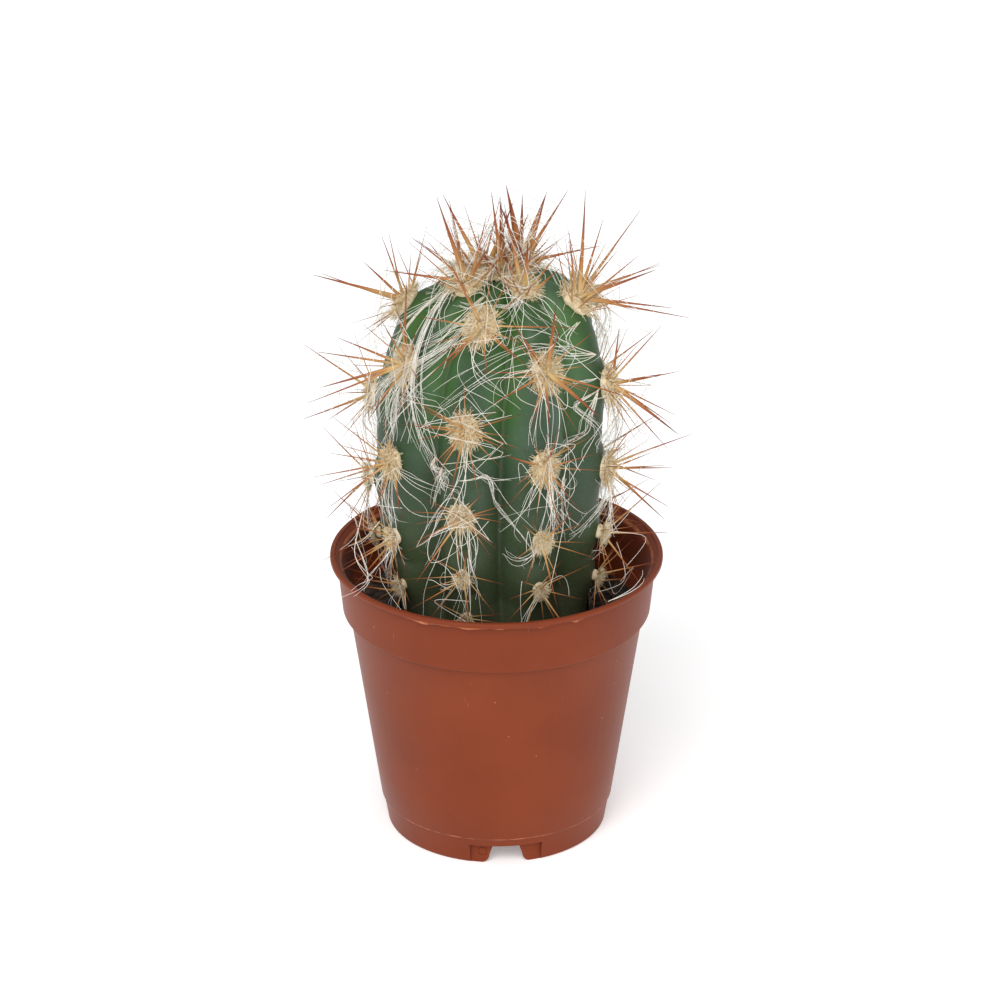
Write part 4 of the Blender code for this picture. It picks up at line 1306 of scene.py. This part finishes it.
def shownSpine(rootX, rootY, tipX, tipY, least):
    # from the pad nearest to the root's pixel to the tip's line of sight, leaning out from the skin
    def apart(entry):
        x, y = pixelOf(entry[0].translation)
        return math.hypot(x - rootX, y - rootY) + (400 if entry[0].col[2].y > 0.35 else 0)

    frameHere, rib, index = min(areoleFrames, key=apart)
    normal = frameHere.col[2].to_3d()
    root = frameHere.translation + normal * areoleRule["padThickness"] * 0.6
    eye, sight = viewPlace(), sightLine(tipX, tipY)
    closest = eye + sight * (root - eye).dot(sight)
    along = math.sqrt(max(0.0, least * least - (closest - root).length_squared))
    tip = max(closest + sight * along, closest - sight * along, key=lambda end: (end - root).dot(normal))
    heading = (tip - root).normalized()
    return root, heading, trimmedLength(root, heading, (tip - root).length), index


def spineSize(rng, index, central):
    # root radius and finish of a planned spine
    s = spineLook
    if index < spineRule["youngIndex"]:
        return s["youngRadius"][central] * rng.uniform(0.8, 1.2), bright
    radius = (s["centralRadius"] if central else s["radialRadius"]) * rng.uniform(0.85, 1.15)
    radius *= mixed(1.0, s["slimmer"], index / areoleRule["count"])
    return radius, rng.choice((rust, dark, dark) if central else (pale, rust, rust, rust))


def lowerCrown(spines):
    # only the highest tip keeps the plant's full height
    s = spineRule
    rng = random.Random(s["crownTipsSeed"])
    highest = max(spines, key=lambda spine: spine[0].z + spine[1].z * spine[2])
    for spine in spines:
        if spine is not highest and spine[0].z + spine[1].z * spine[2] > s["crownTipsZ"]:
            spine[2] *= rng.uniform(*s["crownTipsShare"])


def makeSpines():
    # returns each areole's spines as (root, heading, length), for the hairs that lie across them
    s = spineLook
    grown = {index: [] for frameHere, rib, index in areoleFrames}
    planned = []
    for frameHere, rib, index in areoleFrames:
        rng = random.Random(spineRule["seed"] + index)
        here = plannedSpines(frameHere, index, spinePlan(index, rng))
        planned += here
        grown[index] += here
    evenSpread(planned)
    lowerCrown(planned)
    rng = random.Random(s["thinSeed"])
    strands = []
    for frameHere, rib, index in areoleFrames:
        for root, heading, length, central in grown[index]:
            strands.append(spineStrand(rng, root, heading, length, *spineSize(rng, index, central)))
        for root, heading, length, _ in plannedSpines(frameHere, index, thinPlan(index, rng)):
            finish = rng.choice((pale, rust, rust))
            strands.append(spineStrand(rng, root, heading, length, s["thinRadius"], finish))
    for name, (rootX, rootY, tipX, tipY, least, radius) in shownSpines.items():
        root, heading, length, index = shownSpine(rootX, rootY, tipX, tipY, least)
        finish = bright if name.startswith("crown") and radius > 0.35 else (dark if radius > 0.45 else rust)
        radius *= 1.0 if finish == bright else s["shownRadius"]
        strands.append(spineStrand(rng, root, heading, length, radius, finish))
        grown[index].append((root, heading, length, True))
    mesh = strandMesh("cactusSpines", strands, 6)
    addPiece("cactusSpines", mesh, spineFinishes)
    return grown


grownSpines = makeSpines()


# Long white hairs

hairLook = {
    "hairs": {"crown": 7, "upper": 9, "lower": 2},      # on each areole
    "hiddenShare": 1.6,   # more on the ribs that the photograph doesn't show
    "lock": 6,            # hairs that run together
    "length": {"crown": (8.0, 20.0), "upper": (12.0, 28.0), "lower": (6.0, 14.0)},
    "upperEnds": 27,      # the last areole with long hairs
    "segments": 16,
    "radius": (0.045, 0.075),
    "fan": 40.0,          # degrees, how far they fan out from straight down
    "lift": 0.45,
    "weight": 0.10,       # how fast a hair turns down
    "sway": 0.05,         # shared by a lock
    "kink": 0.02,         # each hair's own
    "keep": 0.88,         # how smooth the sway is
    "wander": 0.07,       # mm, of a lock's or a web's hair about its route
    "evenings": 2,        # passes that even out a finished hair
    "hover": 1.2,         # mm above the skin that a hair settles to
    "cling": 0.10,
    "clearance": 0.12,
    "webs": {"crown": 10, "upper": 6, "lower": 2},      # fine hairs that lie across each areole's spines
    "webRadius": 0.042,
    "routeSteps": 20,
    "seed": 4100,
}

# locks that the photograph shows: number of hairs, spread at the tip in mm, and the route in its pixels
shownLocks = {
    "crownLeft": (7, 1.4, ((458, 290), (443, 298), (428, 306), (410, 318), (397, 328), (389, 343))),
    "swath": (20, 2.6, ((473, 313), (458, 333), (443, 349), (422, 364), (402, 382), (384, 400), (374, 415))),
    "swathUpper": (7, 1.8, ((479, 298), (463, 313), (443, 333), (422, 349), (407, 364))),
    "swathLower": (9, 2.0, ((472, 345), (455, 362), (437, 376), (420, 392), (402, 412), (388, 430))),
    "middleDown": (13, 1.3, ((476, 354), (473, 371), (468, 392), (463, 412), (459, 435), (456, 458),
                             (443, 502))),
    "middleRight": (5, 1.5, ((496, 346), (501, 364), (512, 379), (530, 389))),
    "secondLeft": (11, 1.6, ((463, 440), (456, 456), (450, 474), (443, 491), (440, 512))),
    "secondRight": (7, 1.8, ((476, 456), (486, 476), (501, 497), (517, 519), (532, 540))),
    "secondDown": (4, 1.4, ((468, 445), (463, 468), (463, 497), (466, 522), (479, 553))),
    "rightDown": (9, 1.3, ((545, 394), (547, 412), (551, 433), (555, 453))),
    "rightAside": (8, 1.7, ((558, 389), (575, 405), (593, 420), (606, 435))),
    "rightBack": (8, 1.5, ((537, 379), (519, 387), (499, 394), (479, 405), (468, 412))),
    "rightBackThin": (3, 1.0, ((540, 389), (524, 394), (509, 400))),
    "leftDown": (11, 1.6, ((410, 374), (402, 394), (398, 415), (396, 435), (389, 451))),
    "leftAcross": (4, 1.6, ((415, 371), (428, 387), (443, 400), (458, 415))),
    "leftEdge": (12, 1.8, ((402, 369), (387, 382), (376, 394), (371, 415), (371, 430), (376, 445))),
    "leftLow": (8, 1.5, ((389, 471), (389, 486), (394, 502), (398, 522))),
    "leftLowAcross": (4, 1.4, ((397, 463), (415, 476), (433, 484), (448, 486))),
    "rightLowDown": (9, 1.4, ((547, 481), (545, 499), (551, 517), (558, 532))),
    "rightLowBack": (4, 1.2, ((537, 476), (530, 491), (524, 509))),
    "rightLowAside": (5, 1.4, ((558, 476), (563, 499), (567, 522), (568, 548))),
    "shoulderRight": (9, 1.3, ((588, 315), (601, 328), (606, 349), (610, 371))),
    "edgeRight": (9, 1.2, ((609, 405), (610, 425), (609, 448), (611, 463))),
    "edgeRightLow": (8, 1.2, ((609, 481), (611, 502), (610, 522), (614, 537))),
    "crownRight": (11, 1.3, ((530, 298), (517, 308), (507, 318), (504, 323))),
    "crownAcross": (7, 1.3, ((537, 298), (504, 308), (466, 308), (433, 305), (415, 309))),
    "crownLoop": (3, 0.6, ((514, 313), (524, 326), (535, 318), (532, 308))),
    "shoulderLoop": (5, 1.2, ((575, 323), (565, 338), (558, 354), (545, 359))),
    "overRim": (1, 0.3, ((440, 546), (428, 582), (427, 623), (418, 646))),
    "potLeftA": (2, 0.8, ((355, 539), (368, 574), (361, 590), (340, 600))),
    "potRight": (2, 0.8, ((608, 602), (633, 590), (645, 577), (646, 569))),
    "potLeftB": (2, 0.8, ((380, 521), (374, 529), (368, 538), (354, 547), (332, 552))),
    "potLeftC": (2, 0.8, ((363, 511), (356, 537), (354, 557), (366, 575), (369, 580), (358, 593),
                          (341, 599))),
    "potLeftD": (2, 0.8, ((392, 549), (383, 559), (368, 575), (361, 586))),
}


def skinGap(point):
    # height above the skin, and the way out of it
    s = stemShape
    x, y = point.x - lean(point.z), point.y
    r = max(1e-6, math.hypot(x, y))
    across = nearestRib(math.atan2(x, -y))[1]
    groove = s["ribDepth"] * across * across * min(1.0, r / s["ribFullArc"])
    if point.z <= s["widestZ"]:
        groove *= clamped((point.z - s["soilZ"]) / (s["ribFadeZ"] - s["soilZ"]))
        return r - stemRadius(point.z) + groove, Vector((x / r, y / r, 0.0))
    rise, dome = point.z - s["widestZ"], s["topZ"] - s["widestZ"]
    power = s["domePower"]
    level = ((r / s["radius"]) ** power + (rise / dome) ** power) ** (1 / power)
    steep = (r / s["radius"]) ** (power - 1) / s["radius"] / r
    out = Vector((x * steep, y * steep, (rise / dome) ** (power - 1) / dome)).normalized()
    return math.hypot(r, rise) * (1 - 1 / level) + groove, out


def keptInside(point):
    # off the skin, the soil and the pot's wall, and within the plant's spread
    gap, out = skinGap(point)
    if gap < hairLook["clearance"]:
        point = point + out * (hairLook["clearance"] - gap)
    if point.z < potShape["height"] + 0.3:
        r, wall = math.hypot(point.x, point.y), innerRadius(min(point.z, potShape["height"])) - 0.25
        if r > wall:
            point.x, point.y = point.x * wall / r, point.y * wall / r
    point.z = max(point.z, stemShape["soilZ"] + 0.35)
    limit, top = spineRule["spread"] - 0.3, spineRule["topZ"] - 0.3
    return Vector((clamped(point.x, -limit, limit), clamped(point.y, -limit, limit), min(point.z, top)))


def smoothSway(rng, push, count):
    # a slowly changing push aside for each step of a hair
    sways, sway = [], Vector()
    for _ in range(count):
        sway = sway * hairLook["keep"] + gaussVector(rng) * push
        sways.append(sway.copy())
    return sways


def evened(points):
    # takes out the kinks that the skin, the wall and the plant's spread put into a hair
    for _ in range(hairLook["evenings"]):
        middle = [(a + b * 2 + c) / 4 for a, b, c in zip(points, points[1:], points[2:])]
        points = [points[0], *middle, points[-1]]
    return points


def hairRadii(rng, count):
    radius = rng.uniform(*hairLook["radius"])
    return [radius * (1 - 0.65 * i / (count - 1)) for i in range(count)]


def grownHair(rng, root, heading, length, shared):
    s = hairLook
    points = [root]
    step = length / s["segments"]
    for common, own in zip(shared, smoothSway(rng, s["kink"], s["segments"])):
        gap, out = skinGap(points[-1])
        pull = out * clamped((gap - s["hover"]) * s["cling"], -0.25, 0.25)
        heading = (heading + common + own - pull - Vector((0, 0, s["weight"]))).normalized()
        points.append(keptInside(points[-1] + heading * step))
    return evened(points), hairRadii(rng, len(points)), 0


def hairBand(index):
    if index < areoleRule["crownIndex"]:
        return "crown"
    return "upper" if index < hairLook["upperEnds"] else "lower"


def areoleHairs(frameHere, index):
    s = hairLook
    rng = random.Random(s["seed"] + index)
    band = hairBand(index)
    count = s["hairs"][band] * (s["hiddenShare"] if frameHere.col[2].y > 0 else 1.0)
    hairs = []
    while len(hairs) < count:
        turn = math.radians(-90 + rng.gauss(0, s["fan"]))
        local = Vector((math.cos(turn), math.sin(turn), s["lift"] * rng.uniform(0.4, 1.6)))
        heading = (frameHere.to_3x3() @ local).normalized()
        shared = smoothSway(rng, s["sway"], s["segments"])
        length = rng.uniform(*s["length"][band])
        for _ in range(rng.randint(1, s["lock"])):
            root = padPoint(frameHere, index, turn + rng.gauss(0, 0.3), rng.uniform(0.4, 0.95))
            own = (heading + gaussVector(rng) * 0.14).normalized()
            hairs.append(grownHair(rng, root, own, length * rng.uniform(0.7, 1.1), shared))
    return hairs


def alongRoute(corners, share):
    # a point of the smooth curve through the corners
    place = share * (len(corners) - 1)
    i = min(int(place), len(corners) - 2)
    a, b, c, d = (corners[clamped(k, 0, len(corners) - 1)] for k in (i - 1, i, i + 1, i + 2))
    t = place - i
    bend = (a * -1 + b * 3 - c * 3 + d) * t + (a * 2 - b * 5 + c * 4 - d)
    return (b * 2 + ((bend * t) + (c - a)) * t) * 0.5


def overSkin(x, y, before, hover):
    # the spot that shows at a pixel, hover above the skin or the pot, or as far off as the spot before it
    eye, sight = viewPlace(), sightLine(x, y)
    depth = (before - eye).dot(sight)
    for name in ("cactusStem", "nurseryPot"):
        found, spot, normal, face = bpy.data.objects[name].ray_cast(eye * mm, sight)
        if found and abs((spot / mm - eye).length - depth) < 9.0:
            return spot / mm + normal * hover
    return eye + sight * depth


def lockHairs(name, count, spread, route):
    # the hairs of one lock: they part towards their tips, and some end early
    s = hairLook
    rng = random.Random(f"{s['seed']} {name}")
    hairs = []
    for _ in range(count):
        hover = rng.uniform(0.5, 1.9)
        corners = []
        for x, y in route:
            corners.append(overSkin(x, y, corners[-1] if corners else Vector((0, -6, 75)), hover))
        apart, end = gaussVector(rng) * spread * 0.6, rng.uniform(0.6, 1.08)
        points = []
        for i, wave in enumerate(smoothSway(rng, s["wander"], s["routeSteps"])):
            share = i / (s["routeSteps"] - 1) * end
            spot = alongRoute(corners, min(share, 1.0)) + (corners[-1] - corners[-2]) * max(0.0, share - 1.0)
            points.append(keptInside(spot + apart * share + wave * min(1.0, 4 * share)))
        hairs.append((evened(points), hairRadii(rng, len(points)), 0))
    return hairs


def webHairs(frameHere, index, spines):
    # fine hairs that lie from spine to spine, across the areole
    s = hairLook
    rng = random.Random(s["seed"] + 500 + index)
    hairs = []
    for _ in range(s["webs"][hairBand(index)] if len(spines) > 3 else 0):
        reach = rng.uniform(0.3, 0.85)
        corners = []
        crossed = rng.sample(spines, rng.choice((3, 4)))
        across = frameHere.col[rng.choice((0, 0, 1))].to_3d()
        crossed.sort(key=lambda spine: spine[1].dot(across))
        for root, heading, length, _ in crossed:
            place = clamped(reach + rng.gauss(0, 0.12), 0.15, 0.95)
            corners.append(root + heading * length * place + gaussVector(rng) * 0.2)
        points = []
        for i, wave in enumerate(smoothSway(rng, s["wander"], s["segments"])):
            points.append(keptInside(alongRoute(corners, i / (s["segments"] - 1)) + wave))
        hairs.append((evened(points), [s["webRadius"]] * len(points), 0))
    return hairs


def makeHairs():
    kinds = {"crownHairs": [], "upperHairs": [], "lowerHairs": [], "lockHairs": [], "webHairs": []}
    for frameHere, rib, index in areoleFrames:
        kinds[f"{hairBand(index)}Hairs"] += areoleHairs(frameHere, index)
        kinds["webHairs"] += webHairs(frameHere, index, grownSpines[index])
    for name, (count, spread, route) in shownLocks.items():
        kinds["lockHairs"] += lockHairs(name, count, spread, route)
    for name, strands in kinds.items():
        addPiece(name, strandMesh(name, strands, 4), [hairSilk])


makeHairs()


# Studio

studio = {
    "sky": 0.57,
    "floorSize": 8.0,    # m
    "floor": "#fdfdfd",
    "floorGlow": 0.28,
    "keySize": 1.5,
    "keyPower": 36.0,
    "keyPlace": (-0.5, -1.7, 1.87),
    "fillSize": 0.9,
    "fillPower": 1.5,
    "fillPlace": (0.5, -0.8, 0.5),
}


def addLamp(name, size, power, place):
    light = bpy.data.lights.new(name, "AREA")
    light.shape = "DISK"
    light.size = size
    light.energy = power
    lamp = bpy.data.objects.new(name, light)
    bpy.context.scene.collection.objects.link(lamp)
    lamp.location = place
    lamp.rotation_euler = (Vector((0, 0, 0.06)) - Vector(place)).to_track_quat("-Z", "Y").to_euler()


def makeStudio():
    s = studio
    # the top of a light table: matt opal acrylic, lit from below
    opal, tree, shader = newMaterial("opalAcrylic", Roughness=0.9, Specular_IOR_Level=0.0,
                                      Emission_Strength=s["floorGlow"])
    shader.inputs["Base Color"].default_value = hexLinear(s["floor"])
    shader.inputs["Emission Color"].default_value = hexLinear(s["floor"])
    bm = bmesh.new()
    bmesh.ops.create_grid(bm, x_segments=1, y_segments=1, size=s["floorSize"] / 2)
    mesh = bpy.data.meshes.new("floor")
    bm.to_mesh(mesh)
    bm.free()
    mesh.materials.append(opal)
    floor = bpy.data.objects.new("floor", mesh)
    bpy.context.scene.collection.objects.link(floor)
    addLamp("keyLamp", s["keySize"], s["keyPower"], s["keyPlace"])
    addLamp("fillLamp", s["fillSize"], s["fillPower"], s["fillPlace"])
    world = bpy.data.worlds.new("softBox")
    world.use_nodes = True
    world.node_tree.nodes["Background"].inputs["Color"].default_value = (1.0, 1.0, 1.0, 1.0)
    world.node_tree.nodes["Background"].inputs["Strength"].default_value = s["sky"]
    bpy.context.scene.world = world
    bpy.context.scene.view_settings.view_transform = "Standard"


makeStudio()
print("studio set")
